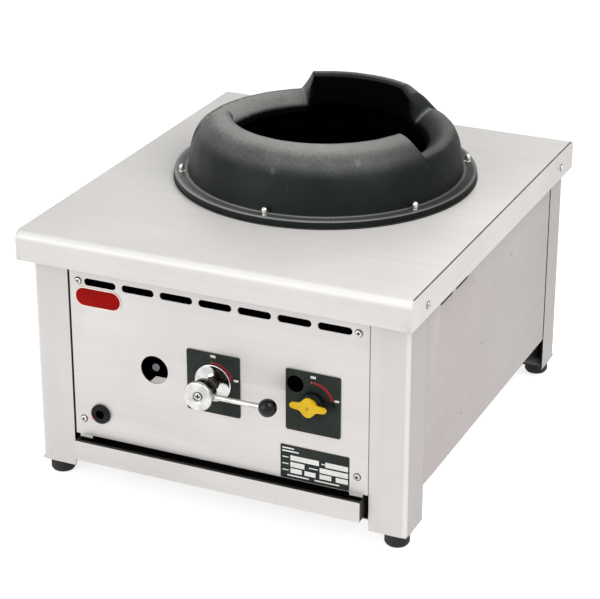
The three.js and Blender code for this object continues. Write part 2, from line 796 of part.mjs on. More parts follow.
function makeMixingTube() {
  const neckFrom = ringCentreY - burnerRadius - burnerNeckLength;
  const inner = tubeRadius - tubeWall;
  const noseHole = injectorNose + slip;
  const tube = turnedAlongY([
    [noseHole, mouthY], [tubeRadius, mouthY], [tubeRadius, neckFrom - seat - 4],
    [burnerNeckRadius, neckFrom - seat - 4], [burnerNeckRadius, neckFrom - seat],
    [inner, neckFrom - seat], [inner - 5, mouthY + 90], [inner, mouthY + 60], [inner, mouthY + tubeWall],
    [noseHole, mouthY + tubeWall],
  ], 24, mainAxisX, valveAxisHeight);
  place('mixing_tube', cut(tube, ...tubeWindows(tubeRadius)), castIron);

  const inside = tubeRadius + slip;
  const outside = inside + shutterWall;
  const from = mouthY + shutterSetback;
  const sleeve = turnedAlongY([
    [inside, from], [outside, from], [outside, from + shutterLength], [inside, from + shutterLength],
  ], 24, mainAxisX, valveAxisHeight);
  const lug = block([mainAxisX - 2, mainAxisX + 2], [from + 2, from + 8],
    [valveAxisHeight + inside + 1, valveAxisHeight + outside + shutterLug]);
  place('air_shutter', cut(join(sleeve, lug), ...tubeWindows(tubeRadius)), brass);
}

// ---------------------------------------------------------------- valves and pipework
function makeMainValve() {
  const from = panelBack + seat;
  const to = from + mainValveLength;
  const at = [mainAxisX, valveAxisHeight];
  const body = rod('y', mainValveRadius, from + 8, to, at, 24);
  const nose = rod('y', mainValveRadius * 0.7, from, from + 8.5, at, 24);
  const inlet = [mainAxisX, casingFront + pipeBehindPanel];
  const underside = valveAxisHeight - mainValveRadius;
  const boss = rod('z', pipeRadius + 4, underside - 10, valveAxisHeight, inlet, 16);
  const socket = rod('z', pipeRadius + slip, underside - 15, underside, inlet, 16);
  const stem = rod('y', spindleRadius + slip, from - 5, from + spindleReach + slip, at, 16);
  const collarFrom = mouthY - seat - injectorCollar;
  const outlet = rod('y', injectorRadius, to - 5, collarFrom - seat, at, 16);
  place('main_valve', cut(join(body, nose, boss, outlet), socket, stem), brass);
  const tip = turnedAlongY([
    [0, collarFrom], [injectorRadius, collarFrom], [injectorRadius, mouthY - seat],
    [injectorNose, mouthY - seat], [injectorNose - 1.5, mouthY + injectorTip],
    [0, mouthY + injectorTip],
  ], 16, mainAxisX, valveAxisHeight);
  place('injector', tip, brass);
}

function makePilotValve() {
  const from = panelBack + seat;
  const to = from + pilotValveLength;
  const at = [pilotAxisX, valveAxisHeight];
  const body = rod('y', pilotValveRadius, from + 6, to, at, 20);
  const nose = rod('y', pilotValveRadius * 0.75, from, from + 6.5, at, 20);
  const stem = rod('y', spindleRadius + slip, from - 5, from + pilotSpindleReach + slip, at, 16);
  place('pilot_valve', cut(join(body, nose), stem), brass);
}

function makePipework() {
  const y = casingFront + pipeBehindPanel;
  const socketTop = valveAxisHeight - mainValveRadius - seat;
  const run = pipe([
    [pipeRunX, reachRear, pipeHeight], [pipeRunX, y, pipeHeight], [mainAxisX, y, pipeHeight],
    [mainAxisX, y, socketTop],
  ], pipeRadius, 24);
  const nut = rod('y', pipeNutRadius, reachRear - pipeNutLength, reachRear, [pipeRunX, pipeHeight], 6);
  const mouth = rod('y', pipeBore, reachRear - pipeBoreDepth, reachRear + 5,
    [pipeRunX, pipeHeight], 16);
  place('gas_pipe', cut(join(run, nut), mouth), steelPipe);

  const feedY = panelBack + pilotValveLength * 0.7;
  const feed = rod('x', feedRadius, mainAxisX + mainValveRadius + seat,
    pilotAxisX - pilotValveRadius - seat, [feedY, valveAxisHeight], 10);
  place('pilot_feed', feed, copper);

  const pilotX = ringCentreX + burnerRadius * 0.86;
  const pilotY = ringCentreY - burnerRadius * 0.86;
  const tube = pipe([
    [pilotAxisX, panelBack + seat + pilotValveLength + seat, valveAxisHeight],
    [pilotAxisX, pilotY, valveAxisHeight], [pilotX, pilotY, valveAxisHeight],
    [pilotX, pilotY, burnerTop - pilotTipLength + 1],
  ], pilotTubeRadius, 18, 8);
  const tip = rod('z', pilotTipRadius, burnerTop - pilotTipLength, burnerTop, [pilotX, pilotY], 10);
  place('pilot_burner', join(tube, tip), copper);
}

// ---------------------------------------------------------------- front controls
function roundedPlate(x, z, width, height, radius, thickness, y) {
  const s = new THREE.Shape();
  const [a, b] = [width / 2 - radius, height / 2 - radius];
  s.absarc(a, b, radius, 0, Math.PI / 2, false);
  s.absarc(-a, b, radius, Math.PI / 2, Math.PI, false);
  s.absarc(-a, -b, radius, Math.PI, 1.5 * Math.PI, false);
  s.absarc(a, -b, radius, 1.5 * Math.PI, 2 * Math.PI, false);
  return extrudeBack(s, y - thickness, y, 4).translate(x, 0, z);
}

const dialFront = casingFront - seat - dialThickness;

function makeDialPlates() {
  for (const [name, x] of [['main', mainAxisX], ['pilot', pilotAxisX]]) {
    const plate = roundedPlate(x, valveAxisHeight - dialDrop, dialWidth, dialHeight, 3,
      dialThickness, casingFront - seat);
    const hole = (r, at) => rod('y', r, casingFront - 10, casingFront + 5, at, 20);
    const holes = [hole(spindleHole, [x, valveAxisHeight])];
    if (name === 'pilot') holes.push(hole(sightHoleRadius, [sightHoleX, sightHoleHeight]));
    place(`dial_plate_${name}`, cut(plate, ...holes), dialPaint);
  }
}

function makeMainLever() {
  const at = [mainAxisX, valveAxisHeight];
  const front = dialFront - seat;
  const plate = turnedAlongY([
    [spindleRadius + slip, front], [escutcheonRadius, front],
    [escutcheonRadius, front - 1.5], [escutcheonRadius * 0.6, front - escutcheonThickness * 0.6],
    [leverNeckRadius + slip, front - escutcheonThickness],
    [spindleRadius + slip, front - escutcheonThickness],
  ], 28, ...at);
  place('escutcheon', plate, chrome);

  const rodY = casingFront - leverPlane;
  const neckTo = front - escutcheonThickness - seat;
  const discBack = rodY - leverRodRadius - slip;
  const spindleTo = panelBack + seat + spindleReach;
  const hub = turnedAlongY([
    [0, discBack + seat], [leverCollarRadius, discBack + seat],
    [leverCollarRadius, discBack + leverCollarLength], [leverNeckRadius, discBack + leverCollarLength + 3],
    [leverNeckRadius, neckTo], [spindleRadius, neckTo], [spindleRadius, spindleTo], [0, spindleTo],
  ], 24, ...at);
  const socket = rod('x', leverRodRadius + slip, mainAxisX + leverCollarRadius * 0.4,
    mainAxisX + leverCollarRadius + 5, [rodY, valveAxisHeight], 12);
  place('lever_hub', cut(hub, socket), chrome);

  const disc = turnedAlongY([
    [0, discBack], [leverDiscRadius - 1, discBack], [leverDiscRadius, discBack - 1],
    [leverDiscRadius, discBack - leverDiscThickness + 1.5],
    [leverDiscRadius - 2, discBack - leverDiscThickness], [0, discBack - leverDiscThickness],
  ], 28, ...at);
  place('lever_disc', disc, chrome);

  const rodFrom = mainAxisX + leverCollarRadius * 0.4 + seat;
  const ballX = mainAxisX + leverReach;
  const rodTo = ballX - leverBallRadius * 0.2;
  place('lever_rod', rod('x', leverRodRadius, rodFrom, rodTo, [rodY, valveAxisHeight], 14), chrome);
  const ball = new THREE.SphereGeometry(leverBallRadius, 18, 12)
    .translate(ballX, rodY, valveAxisHeight);
  const bore = rod('x', leverRodRadius + slip, ballX - leverBallRadius * 2, rodTo + seat,
    [rodY, valveAxisHeight], 14);
  place('lever_ball', cut(ball, bore), blackPlastic);
}

function makePilotHandle() {
  const at = [pilotAxisX, valveAxisHeight];
  const back = dialFront - seat;
  const front = back - pilotBaseThickness;
  const spindleTo = panelBack + seat + pilotSpindleReach;
  const base = turnedAlongY([
    [0, front], [pilotBaseRadius - 4, front], [pilotBaseRadius, front + 4], [pilotBaseRadius, back],
    [spindleRadius, back], [spindleRadius, spindleTo], [0, spindleTo],
  ], 28, ...at);
  const pointer = block([pilotAxisX, pilotAxisX + pilotPointerReach], [back - 5, back],
    [valveAxisHeight - pilotPointerWidth / 2, valveAxisHeight + pilotPointerWidth / 2]);
  place('pilot_base', join(base, pointer), blackPlastic);

  const wing = new THREE.Shape();
  const tip = 5;
  const waist = 7;
  wing.moveTo(wingReach, -tip);
  wing.quadraticCurveTo(wingReach + 3, 0, wingReach, tip);
  wing.lineTo(wingHub * 0.9, waist);
  wing.quadraticCurveTo(wingHub * 0.5, wingHub, 0, wingHub + 1);
  wing.quadraticCurveTo(-wingHub * 0.5, wingHub, -wingHub * 0.9, waist);
  wing.lineTo(-wingReach, tip);
  wing.quadraticCurveTo(-wingReach - 3, 0, -wingReach, -tip);
  wing.lineTo(-wingHub * 0.9, -waist);
  wing.quadraticCurveTo(-wingHub * 0.5, -wingHub, 0, -wingHub - 1);
  wing.quadraticCurveTo(wingHub * 0.5, -wingHub, wingHub * 0.9, -waist);
  wing.lineTo(wingReach, -tip);
  const handle = extrudeBack(wing, front - seat - wingThickness, front - seat, 5)
    .translate(pilotAxisX, 0, valveAxisHeight);
  place('pilot_wing', handle, yellowPlastic);
}

function makeIgniter() {
  const at = [igniterX, igniterHeight];
  const back = casingFront - seat;
  const mouth = igniterButtonRadius + slip;
  const floorY = casingFront + igniterTravel + 8;
  const bezel = turnedAlongY([
    [mouth, back - igniterBezelProud], [igniterRadius - 2, back - igniterBezelProud],
    [igniterRadius, back - igniterBezelProud + 2], [igniterRadius, back], [igniterBarrelRadius, back],
    [igniterBarrelRadius, back + igniterBarrelLength], [0, back + igniterBarrelLength],
    [0, floorY], [mouth + igniterWall / 2, floorY], [mouth + igniterWall / 2, back + 3], [mouth, back + 2],
  ], 20, ...at);
  place('igniter_body', bezel, blackPlastic);
  const collar = mouth + igniterWall / 2 - slip;
  const button = turnedAlongY([
    [0, back - igniterBezelProud + 1], [igniterButtonRadius - 1, back - igniterBezelProud + 1],
    [igniterButtonRadius, back - igniterBezelProud + 2], [igniterButtonRadius, back + 3 + seat],
    [collar, back + 3 + seat], [collar, back + 6], [0, back + 6],
  ], 20, ...at);
  place('igniter_button', button, blackPlastic);
}

function makePlates() {
  place('badge_plate', roundedPlate(badgeX, badgeHeight, badgeWidth, badgeDepth, badgeDepth / 2 - 1,
    plateThickness, casingFront - seat), badgePaint);
  place('nameplate', roundedPlate(nameplateX, nameplateHeight, nameplateWidth, nameplateDepth, 2,
    plateThickness, casingFront - seat), dialPaint);
}

// ---------------------------------------------------------------- drip tray and rails
function makeDripTray() {
  const t = traySheet;
  const front = casingFront - trayFrontProud;
  const half = trayWidth / 2;
  const top = trayBottom + trayFrontHeight;
  const pan = block([-half, half], [front, front + trayLength], [trayBottom, top]);
  const inside = block([-half + t, half - t], [front + t, front + trayLength - t],
    [trayBottom + t, top + 5]);
  const face = block([-trayFrontWidth / 2, trayFrontWidth / 2], [front, front + t],
    [trayBottom, top]);
  const hem = block([-trayFrontWidth / 2, trayFrontWidth / 2], [front, front + trayHem],
    [top - t, top]);
  place('drip_tray', join(cut(pan, inside), face, hem), stainless);
}

function makeTrayRails() {
  const t = sheet;
  const low = trayBottom - seat - t;
  const from = casingFront + sheet + seat;
  const to = casingRear - sheet - seat;
  for (const [side, sign] of sides) {
    const section = outline([
      [railLower, low], [railWeb, low], [railWeb, railTop], [railUpper, railTop],
      [railUpper, railTop - t], [railWeb - t, railTop - t], [railWeb - t, low + t], [railLower, low + t],
    ].map(([x, z]) => [x * sign, z]));
    place(`tray_rail_${side}`, extrudeBack(section, from, to), zinc);
  }
}

// ---------------------------------------------------------------- the object
makeWorktop();
makeSideTrims();
makeLegs();
makeFrontPanel();
makeOtherPanels();
makeWokRing();
makeFireBowl();
makeBurner();
makeBurnerBridge();
makeMixingTube();
makeMainValve();
makePilotValve();
makePipework();
makeDialPlates();
makeMainLever();
makePilotHandle();
makeIgniter();
makePlates();
makeDripTray();
makeTrayRails();

// the origin is on the floor under the middle of the whole outline
model.position.y = -(reachFront + reachRear) / 2;
model.updateMatrixWorld(true);

export default model;
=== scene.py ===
"""The looks of a table-top gas wok range: sheet steel casing, cast-iron ring, gas controls, drip tray.

Shapes are worked out in millimetres in the row frame (+X right, +Y to the rear, +Z up) and become
metres when their mesh is made.
"""
from __future__ import annotations

import json
import logging
import math
from dataclasses import dataclass, field
from enum import Enum
from functools import cache, cached_property, reduce
from typing import Callable, Iterable, Sequence

import bmesh
import bpy
import numpy as np
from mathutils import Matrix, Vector

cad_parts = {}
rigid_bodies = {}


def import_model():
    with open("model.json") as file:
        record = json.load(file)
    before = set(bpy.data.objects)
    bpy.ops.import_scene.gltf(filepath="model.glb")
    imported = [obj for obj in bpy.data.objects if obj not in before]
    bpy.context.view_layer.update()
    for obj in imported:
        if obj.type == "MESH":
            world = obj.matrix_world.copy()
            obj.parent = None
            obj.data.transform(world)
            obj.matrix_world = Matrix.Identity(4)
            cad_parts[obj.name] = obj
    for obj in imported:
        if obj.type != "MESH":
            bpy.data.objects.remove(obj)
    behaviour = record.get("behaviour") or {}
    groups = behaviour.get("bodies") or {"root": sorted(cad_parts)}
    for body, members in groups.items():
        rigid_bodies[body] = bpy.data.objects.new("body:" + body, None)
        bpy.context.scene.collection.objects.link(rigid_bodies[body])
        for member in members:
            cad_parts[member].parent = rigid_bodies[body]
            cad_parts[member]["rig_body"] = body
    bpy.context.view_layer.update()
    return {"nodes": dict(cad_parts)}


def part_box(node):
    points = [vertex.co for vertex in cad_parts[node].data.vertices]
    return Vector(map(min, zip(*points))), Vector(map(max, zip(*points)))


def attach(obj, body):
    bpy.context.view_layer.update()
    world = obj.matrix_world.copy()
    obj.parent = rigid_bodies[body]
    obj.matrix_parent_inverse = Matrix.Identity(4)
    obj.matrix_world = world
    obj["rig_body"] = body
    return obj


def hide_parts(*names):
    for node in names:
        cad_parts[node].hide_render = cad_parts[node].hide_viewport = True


log = logging.getLogger("wok_range")
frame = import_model()

MM = 0.001
CASING = "casing"
Point2 = tuple[float, float]
Point3 = tuple[float, float, float]
Point4 = tuple[float, float, float, float]
Line = Sequence[Sequence[float]] | np.ndarray


def colour(code: str) -> Point4:
    """Turns six hexadecimal digits, a colour as it looks on screen, into linear light and a 1."""
    shown = [int(code[i:i + 2], 16) / 255 for i in (0, 2, 4)]
    red, green, blue = (v / 12.92 if v <= 0.04045 else ((v + 0.055) / 1.055) ** 2.4 for v in shown)
    return red, green, blue, 1.0


# ---------------------------------------------------------------- shader maths
def operator(operation: str, reflected: bool = False) -> Callable[["Link", "Value"], "Link"]:
    """A method of Link that adds a Math node; a reflected one puts the other value first."""
    def apply(link: "Link", other: "Value") -> "Link":
        first, second = (other, link) if reflected else (link, other)
        return link.graph.node("ShaderNodeMath", {"operation": operation}, {0: first, 1: second})
    return apply


class Link:
    """An output of a shader node that takes part in Python arithmetic."""

    __add__, __radd__ = operator("ADD"), operator("ADD", True)
    __sub__, __rsub__ = operator("SUBTRACT"), operator("SUBTRACT", True)
    __mul__, __rmul__ = operator("MULTIPLY"), operator("MULTIPLY", True)
    larger = operator("MAXIMUM")

    def __init__(self, graph: "Graph", socket: bpy.types.NodeSocket) -> None:
        """Keeps the graph and the output."""
        self.graph = graph
        self.socket = socket

    def __abs__(self) -> "Link":
        """The size of the value without its sign."""
        return self.graph.node("ShaderNodeMath", {"operation": "ABSOLUTE"}, {0: self})

    def step(self, low: float, high: float) -> "Link":
        """Goes smoothly from 0 where the value is low to 1 where it is high."""
        return self.graph.node("ShaderNodeMapRange", {"interpolation_type": "SMOOTHSTEP"},
                               {"Value": self, "From Min": low, "From Max": high})


Value = Link | float | Point3 | Point4


class Graph:
    """The node tree of a material or of the world."""

    def __init__(self, owner: bpy.types.Material | bpy.types.World) -> None:
        """Starts an empty tree."""
        owner.use_nodes = True
        self.tree = owner.node_tree
        self.tree.nodes.clear()

    def node(self, kind: str, settings: dict[str, object] | None = None,
             inputs: dict[str | int, Value] | None = None, output: str | int = 0) -> Link:
        """Adds a node.

        Args:
            kind: The node's type.
            settings: Its properties, set first.
            inputs: Values or links for its inputs, by name or number.
            output: The output that is given back.

        Returns:
            The chosen output, or the first input of a node that has no outputs.
        """
        made = self.tree.nodes.new(kind)
        for key, value in (settings or {}).items():
            setattr(made, key, value)
        for key, value in (inputs or {}).items():
            if isinstance(value, Link):
                self.tree.links.new(value.socket, made.inputs[key])
            else:
                made.inputs[key].default_value = value
        return Link(self, (made.outputs or made.inputs)[output])

    @cached_property
    def place(self) -> Link:
        """The place in the object's own space, in metres."""
        return self.node("ShaderNodeTexCoord", output="Object")

    @cached_property
    def facing(self) -> Link:
        """The way that the surface looks, in the object's own space."""
        return self.node("ShaderNodeTexCoord", output="Normal")

    def axis(self, name: str, of: Link | None = None) -> Link:
        """The X, Y or Z of a vector, or else of the place."""
        return self.node("ShaderNodeSeparateXYZ", inputs={0: of or self.place}, output=name)

    def noise(self, scale: float, detail: float = 2.0, stretch: Point3 = (1, 1, 1)) -> Link:
        """Noise around 0.5 in the object's own space.

        Args:
            scale: Cells in a metre.
            detail: How many finer layers it has.
            stretch: Factors on the scale along X, Y and Z; a small one draws the cells out.

        Returns:
            The noise.
        """
        at = self.node("ShaderNodeMapping", inputs={"Vector": self.place, "Scale": stretch})
        return self.node("ShaderNodeTexNoise", inputs={"Vector": at, "Scale": scale, "Detail": detail})

    def blend(self, share: Value, first: Value, second: Value) -> Link:
        """A colour that goes from the first to the second."""
        return self.node("ShaderNodeMix", {"data_type": "RGBA"}, {0: share, 6: first, 7: second}, 2)

    def attribute(self, name: str) -> Link:
        """A number that the mesh carries at its vertices, or 0."""
        return self.node("ShaderNodeAttribute", {"attribute_name": name}, output="Fac")

    def seen(self) -> Link:
        """1 on a ray of the camera's, also one that was mirrored or went through glass, else 0."""
        camera, gloss, glass = (self.node("ShaderNodeLightPath", output=f"Is {kind} Ray")
                                for kind in ("Camera", "Glossy", "Transmission"))
        return camera.larger(gloss).larger(glass)

    def surface(self, values: dict[str, Value], height: Link, depth: float) -> None:
        """Ends the graph in one surface.

        Args:
            values: The surface's colour, roughness and so on, by their names.
            height: A relief from 0 to 1.
            depth: How deep the relief is, in millimetres.
        """
        relief = self.node("ShaderNodeBump", inputs={"Distance": depth * MM, "Height": height})
        shader = self.node("ShaderNodeBsdfPrincipled", inputs={**values, "Normal": relief})
        self.node("ShaderNodeOutputMaterial", inputs={"Surface": shader})


# ---------------------------------------------------------------- finishes
@dataclass(frozen=True)
class Finish:
    """A finish: its name, the record's slot and two tones; each kind draws its own graph."""

    name: str
    slot: str
    tone: str
    shade: str

    def draw(self, graph: Graph) -> None:
        """Draws the finish into a graph."""
        raise NotImplementedError

    @cache
    def material(self) -> bpy.types.Material:
        """The finish's material, made once."""
        made = bpy.data.materials.new(self.name)
        self.draw(Graph(made))
        return made


@dataclass(frozen=True)
class SheetSteel(Finish):
    """Brushed sheet steel: drawn-out grain, faint rolling streaks and hand marks.

    stretch holds the factors of the grain, small along the brushing. flank is how far the faces
    that look sideways go to a darker side tone, a painted shade; bend how strong the painted
    highlight is on the bends that lead to the front; and floor how far the faces that look up go to
    the inner tone, a painted shade. inner is the tone of the painted shade on the sheet's inside.
    """

    stretch: Point3 = (0.02, 1, 1)
    metal: float = 0.35
    rough: float = 0.4
    inner: str = "2B2926"
    flank: float = 0.0
    side_shade_tone: str = "A19A96"
    bend: float = 0.0
    bend_highlight: Point4 = (0.98, 0.97, 0.96, 1.0)
    floor: float = 0.0

    def inside(self, graph: Graph) -> Link:
        """1 where the sheet looks into the casing or down, floor where it looks up: painted shade.

        There the normal n and the place p give -(n.x p.x + n.y p.y) above 0.2, or n.z is -1.
        """
        x, y, z = (graph.axis(name, graph.facing) for name in "XYZ")
        inward = (x * graph.axis("X") + y * graph.axis("Y")) * -1.0
        down = (z * -1.0).step(0.7, 0.9)
        return inward.step(0.2, 0.24).larger(down).larger(z.step(0.7, 0.9) * self.floor)

    def draw(self, graph: Graph) -> None:
        """Grain moves the roughness and the relief, streaks and smudges move the colour.

        Painted shade darkens the sides, the inside and the faces that look down and, by floor, up;
        a painted highlight brightens the bends.
        """
        inside = self.inside(graph)
        grain, streak = graph.noise(1500, 3, self.stretch), graph.noise(90, 2, self.stretch)
        smudge, patch = graph.noise(7, 3), graph.noise(38, 4)
        share = (streak * 0.3 + smudge * 0.55 + grain * 0.15).step(0.3, 0.7)
        tint = graph.blend(share, colour(self.shade), colour(self.tone))
        across, ahead = (abs(graph.axis(name, graph.facing)) for name in "XY")
        # Painted shade: faces that look sideways go towards a darker side tone.
        tint = graph.blend(across.step(0.75, 0.95) * self.flank, tint, colour(self.side_shade_tone))
        # Painted highlight: the bends that lead to the front go towards near white.
        bent = (ahead * across.larger(graph.axis("Z", graph.facing))).step(0.2, 0.5)
        tint = graph.blend(bent * self.bend, tint, self.bend_highlight)
        # Painted shade: the inside, the faces that look down and, by floor, those that look up take the
        # inner tone.
        tint = graph.blend(inside, tint, colour(self.inner))
        mark = patch.step(0.6, 0.75) * 0.05
        rough = self.rough + (grain - 0.5) * 0.14 + (smudge - 0.5) * 0.1 + mark + inside * 0.2
        graph.surface({"Base Color": tint, "Metallic": self.metal, "Roughness": rough}, grain, 0.012)


@dataclass(frozen=True)
class PlatedMetal(Finish):
    """Plated or bare metal with fine pitting and a little cloudiness."""

    rough: float = 0.3
    metal: float = 0.95
    cloud: float = 0.12
    pit: float = 0.02

    def draw(self, graph: Graph) -> None:
        """Clouds move colour and roughness, pits make the relief."""
        cloud = graph.noise(60, 3)
        tint = graph.blend(cloud.step(0.35, 0.65), colour(self.shade), colour(self.tone))
        rough = self.rough + (cloud - 0.5) * self.cloud
        graph.surface({"Base Color": tint, "Metallic": self.metal, "Roughness": rough},
                      graph.noise(900, 2), self.pit)


@dataclass(frozen=True)
class CastIron(Finish):
    """Dark enamel over rough iron, lighter and darker by the mesh's attributes and its facing.

    The sheen colour goes where the mesh marks rubbing and painted highlights and, as painted light,
    on faces that look up; the soot colour where it marks soot and painted shade.
    """

    sheen: str = "A1A39F"
    soot: str = "0B0B0A"

    def draw(self, graph: Graph) -> None:
        """Sand grain, pocks and swells make the relief; rubbing, painted light and scuffs lighten it."""
        sand, pocks, swell = graph.noise(520, 4), graph.noise(210, 4), graph.noise(14, 3)
        scuff = graph.noise(60, 5, (1, 1, 0.4)).step(0.63, 0.72) * 0.13
        # Painted light: faces that look up go towards the sheen colour, as the light falls from above.
        painted_top_light = graph.axis("Z", graph.facing).step(0.45, 1.05) * 0.42
        body = graph.blend((swell * 0.75 + pocks * 0.25).step(0.36, 0.64),
                           colour(self.shade), colour(self.tone))
        rubbed_and_lit = (graph.attribute("wear_and_highlight") + painted_top_light) * (0.9 + (pocks - 0.5) * 0.5 + (swell - 0.5) * 0.5)
        worn_and_lit = graph.blend((rubbed_and_lit + scuff).step(0.02, 1.05), body, colour(self.sheen))
        # The soot attribute carries painted shade as well as soot.
        sooty = graph.attribute("soot")
        black = (sooty + (pocks - 0.5) * 0.5 * sooty).step(0.12, 0.75)
        rough = 0.46 - rubbed_and_lit * 0.05 + (sand - 0.5) * 0.18 + black * 0.35
        graph.surface({"Base Color": graph.blend(black, worn_and_lit, colour(self.soot)), "Metallic": black,
                       "Roughness": rough, "Specular IOR Level": 0.17},
                      sand * 0.25 + pocks * 0.4 + swell * 0.35, 0.75)


@dataclass(frozen=True)
class Moulding(Finish):
    """Moulded plastic, rubber, ink or paint with a faint skin texture.

    skin is the texture's depth in millimetres, gloss how much the surface mirrors, and glow how
    much light it gives off, for paint that the studio's light should reach and doesn't.
    """

    rough: float = 0.5
    skin: float = 0.03
    metal: float = 0.0
    gloss: float = 0.5
    glow: float = 0.0

    def draw(self, graph: Graph) -> None:
        """Flow marks move colour and roughness, a fine skin makes the relief."""
        flow, skin = graph.noise(45, 3), graph.noise(1300, 2)
        tint = graph.blend(flow.step(0.35, 0.7), colour(self.tone), colour(self.shade))
        rough = self.rough + (flow - 0.5) * 0.12 + (skin - 0.5) * 0.06
        graph.surface({"Base Color": tint, "Metallic": self.metal, "Roughness": rough,
                       "Specular IOR Level": self.gloss, "Emission Color": tint,
                       "Emission Strength": self.glow}, skin, self.skin)


UPRIGHT, DEEP = (1, 1, 0.02), (1, 0.02, 1)
# Painted light: a lighter copy of the stainless, as the top gets the most light, with the full painted
# highlight on its bends; the brackets use it too.
LIT_TOP_STEEL = SheetSteel("lit_top_steel", "stainless", "F6F3F0", "ECE9E6", metal=0.12, rough=0.45, bend=1.0)
FRONT_STEEL = SheetSteel("front_steel", "stainless", "E5E1DF", "DCD8D6")
# LEG_STEEL: painted shade on the legs' side faces and a painted highlight on their bends.
LEG_STEEL = SheetSteel("leg_steel", "stainless", "E0DCDA", "D6D2CF", UPRIGHT, flank=0.62, bend=0.5)
# Painted shade: a darker copy of the stainless for the side panels, as the sides get less light.
SHADED_SIDE_STEEL = SheetSteel("shaded_side_steel", "stainless", "CCC3C0", "C1B8B5", DEEP, metal=0.1)
TRIM_STEEL = SheetSteel("trim_steel", "stainless", "E7E3DF", "DBD7D2", DEEP)
# Painted shade: TRAY_STEEL darkens the tray's sides, its inside and its floor.
TRAY_STEEL = SheetSteel("tray_steel", "stainless", "E2DEDB", "D5D1CD", flank=0.95,
                        side_shade_tone="3D3C37", floor=1.0)
RAIL_ZINC = PlatedMetal("rail_zinc", "zinc", "85837F", "7A7874", 0.45)
SCREW_ZINC = PlatedMetal("screw_zinc", "zinc", "D8D5D0", "B4B1AC", 0.26)
DOME_ZINC = PlatedMetal("dome_zinc", "zinc", "EFEDE8", "CFCDC8", 0.2, 0.8)
CHROME = PlatedMetal("mirror_chrome", "chrome", "CFCFCD", "B4B4B3", 0.1, 1.0, 0.05, 0.004)
# Painted shade: a darker copy of the chrome, for the lever's hub.
SHADED_CHROME = PlatedMetal("shaded_chrome", "chrome", "5E5B57", "3E3C39", 0.14, 1.0, 0.05, 0.004)
SATIN_CHROME = PlatedMetal("satin_chrome", "chrome", "D0CFCB", "B4B3AF", 0.27, 1.0, 0.08, 0.01)
BRASS = PlatedMetal("machined_brass", "brass", "C7A35A", "A37F3E")
COPPER = PlatedMetal("drawn_copper", "copper", "C2805A", "94563A", 0.32)
PALE_RIM = PlatedMetal("pale_rim", "badge_paint", "E6DDD2", "CFC5BA")
RING_IRON = CastIron("ring_iron", "cast_iron", "141C19", "0E1513")
BURNER_IRON = CastIron("burner_iron", "cast_iron", "23211F", "181615", "4A4744")
BOWL_STEEL = CastIron("bowl_steel", "zinc", "343835", "2B2E2B", "666865", "030303")
GREY_PIPE = Moulding("grey_pipe", "steel_pipe", "6D6F6F", "7C7E7D", 0.45, 0.06, metal=0.3)
RUBBER = Moulding("foot_rubber", "rubber", "080808", "0D0D0D", 0.7, 0.12)
BLACK_GLOSS = Moulding("black_gloss", "black_plastic", "040504", "080A09", 0.12, 0.004, gloss=0.28)
BLACK_SATIN = Moulding("black_satin", "black_plastic", "131514", "1A1D1B", 0.4, 0.05, gloss=0.15)
BLACK_MATT = Moulding("black_matt", "black_plastic", "020202", "040404", 0.6, 0.05, gloss=0.0)
# Painted light: PALE_PAINT and LILAC_PAINT glow, though they are no lamps.
PALE_PAINT = Moulding("pale_paint", "stainless", "F2EFE8", "E2DED6", gloss=0.4, glow=0.5)
LILAC_PAINT = Moulding("lilac_paint", "zinc", "B5ADBE", "8E8796", gloss=0.3, glow=0.35)
# Painted shade: the brown of the strips behind the side panels' rear joints.
JOINT_SHADE_BROWN = Moulding("joint_shade_brown", "stainless", "A3968B", "857A70", 0.7, 0.1, gloss=0.1)
JOINT_DARK = Moulding("joint_dark", "stainless", "6A5F58", "564C46", 0.7, 0.1, gloss=0.1)
# Painted shade: the dark tone of the side panels' pressed dimples.
DIMPLE_SHADE = Moulding("dimple_shade", "stainless", "5B534F", "453E3B", 0.5, 0.1, gloss=0.2)
YELLOW = Moulding("yellow_moulding", "yellow_plastic", "FFD420", "F4C410", 0.36, 0.02, gloss=0.3)
DIAL_PAINT = Moulding("dial_enamel", "dial_paint", "2C322E", "343A36", 0.5, 0.02, gloss=0.12)
# Painted light: WHITE_INK glows a little, though it is no lamp.
WHITE_INK = Moulding("white_ink", "dial_paint", "FFFFFF", "F2F2EC", gloss=0.2, glow=0.1)
GREY_INK = Moulding("grey_ink", "dial_paint", "8B9089", "7B807A", gloss=0.2)
RED_INK = Moulding("red_ink", "dial_paint", "B32A3C", "A02333", gloss=0.15)
RED_ENAMEL = Moulding("red_enamel", "badge_paint", "B8120C", "A8100B", 0.3, 0.01, gloss=0.06)


# ---------------------------------------------------------------- shapes
class Facing(Enum):
    """The way a piece looks: its own right, its own up and the way out of its face."""

    FRONT = ((1, 0, 0), (0, 0, 1), (0, -1, 0))
    REAR = ((-1, 0, 0), (0, 0, 1), (0, 1, 0))
    RIGHT = ((0, 1, 0), (0, 0, 1), (1, 0, 0))
    LEFT = ((0, -1, 0), (0, 0, 1), (-1, 0, 0))
    UP = ((1, 0, 0), (0, 1, 0), (0, 0, 1))


SIDES = (("left", -1, Facing.LEFT), ("right", 1, Facing.RIGHT))


@dataclass
class Shape:
    """Points in millimetres and the faces that join them."""

    points: np.ndarray
    faces: list[tuple[int, ...]]

    def __add__(self, other: "Shape") -> "Shape":
        """Both shapes as one."""
        shift = len(self.points)
        moved = [tuple(i + shift for i in face) for face in other.faces]
        return Shape(np.vstack([self.points, other.points]), self.faces + moved)

    def placed(self, facing: Facing, at: Sequence[float]) -> "Shape":
        """Turns the shape's own right, up and out to a facing and moves its origin to a point."""
        return Shape(self.points @ np.array(facing.value, float) + np.array(at, float), self.faces)

    def out(self, distance: float) -> "Shape":
        """The shape moved out of its own face."""
        return Shape(self.points + [0, 0, distance], self.faces)


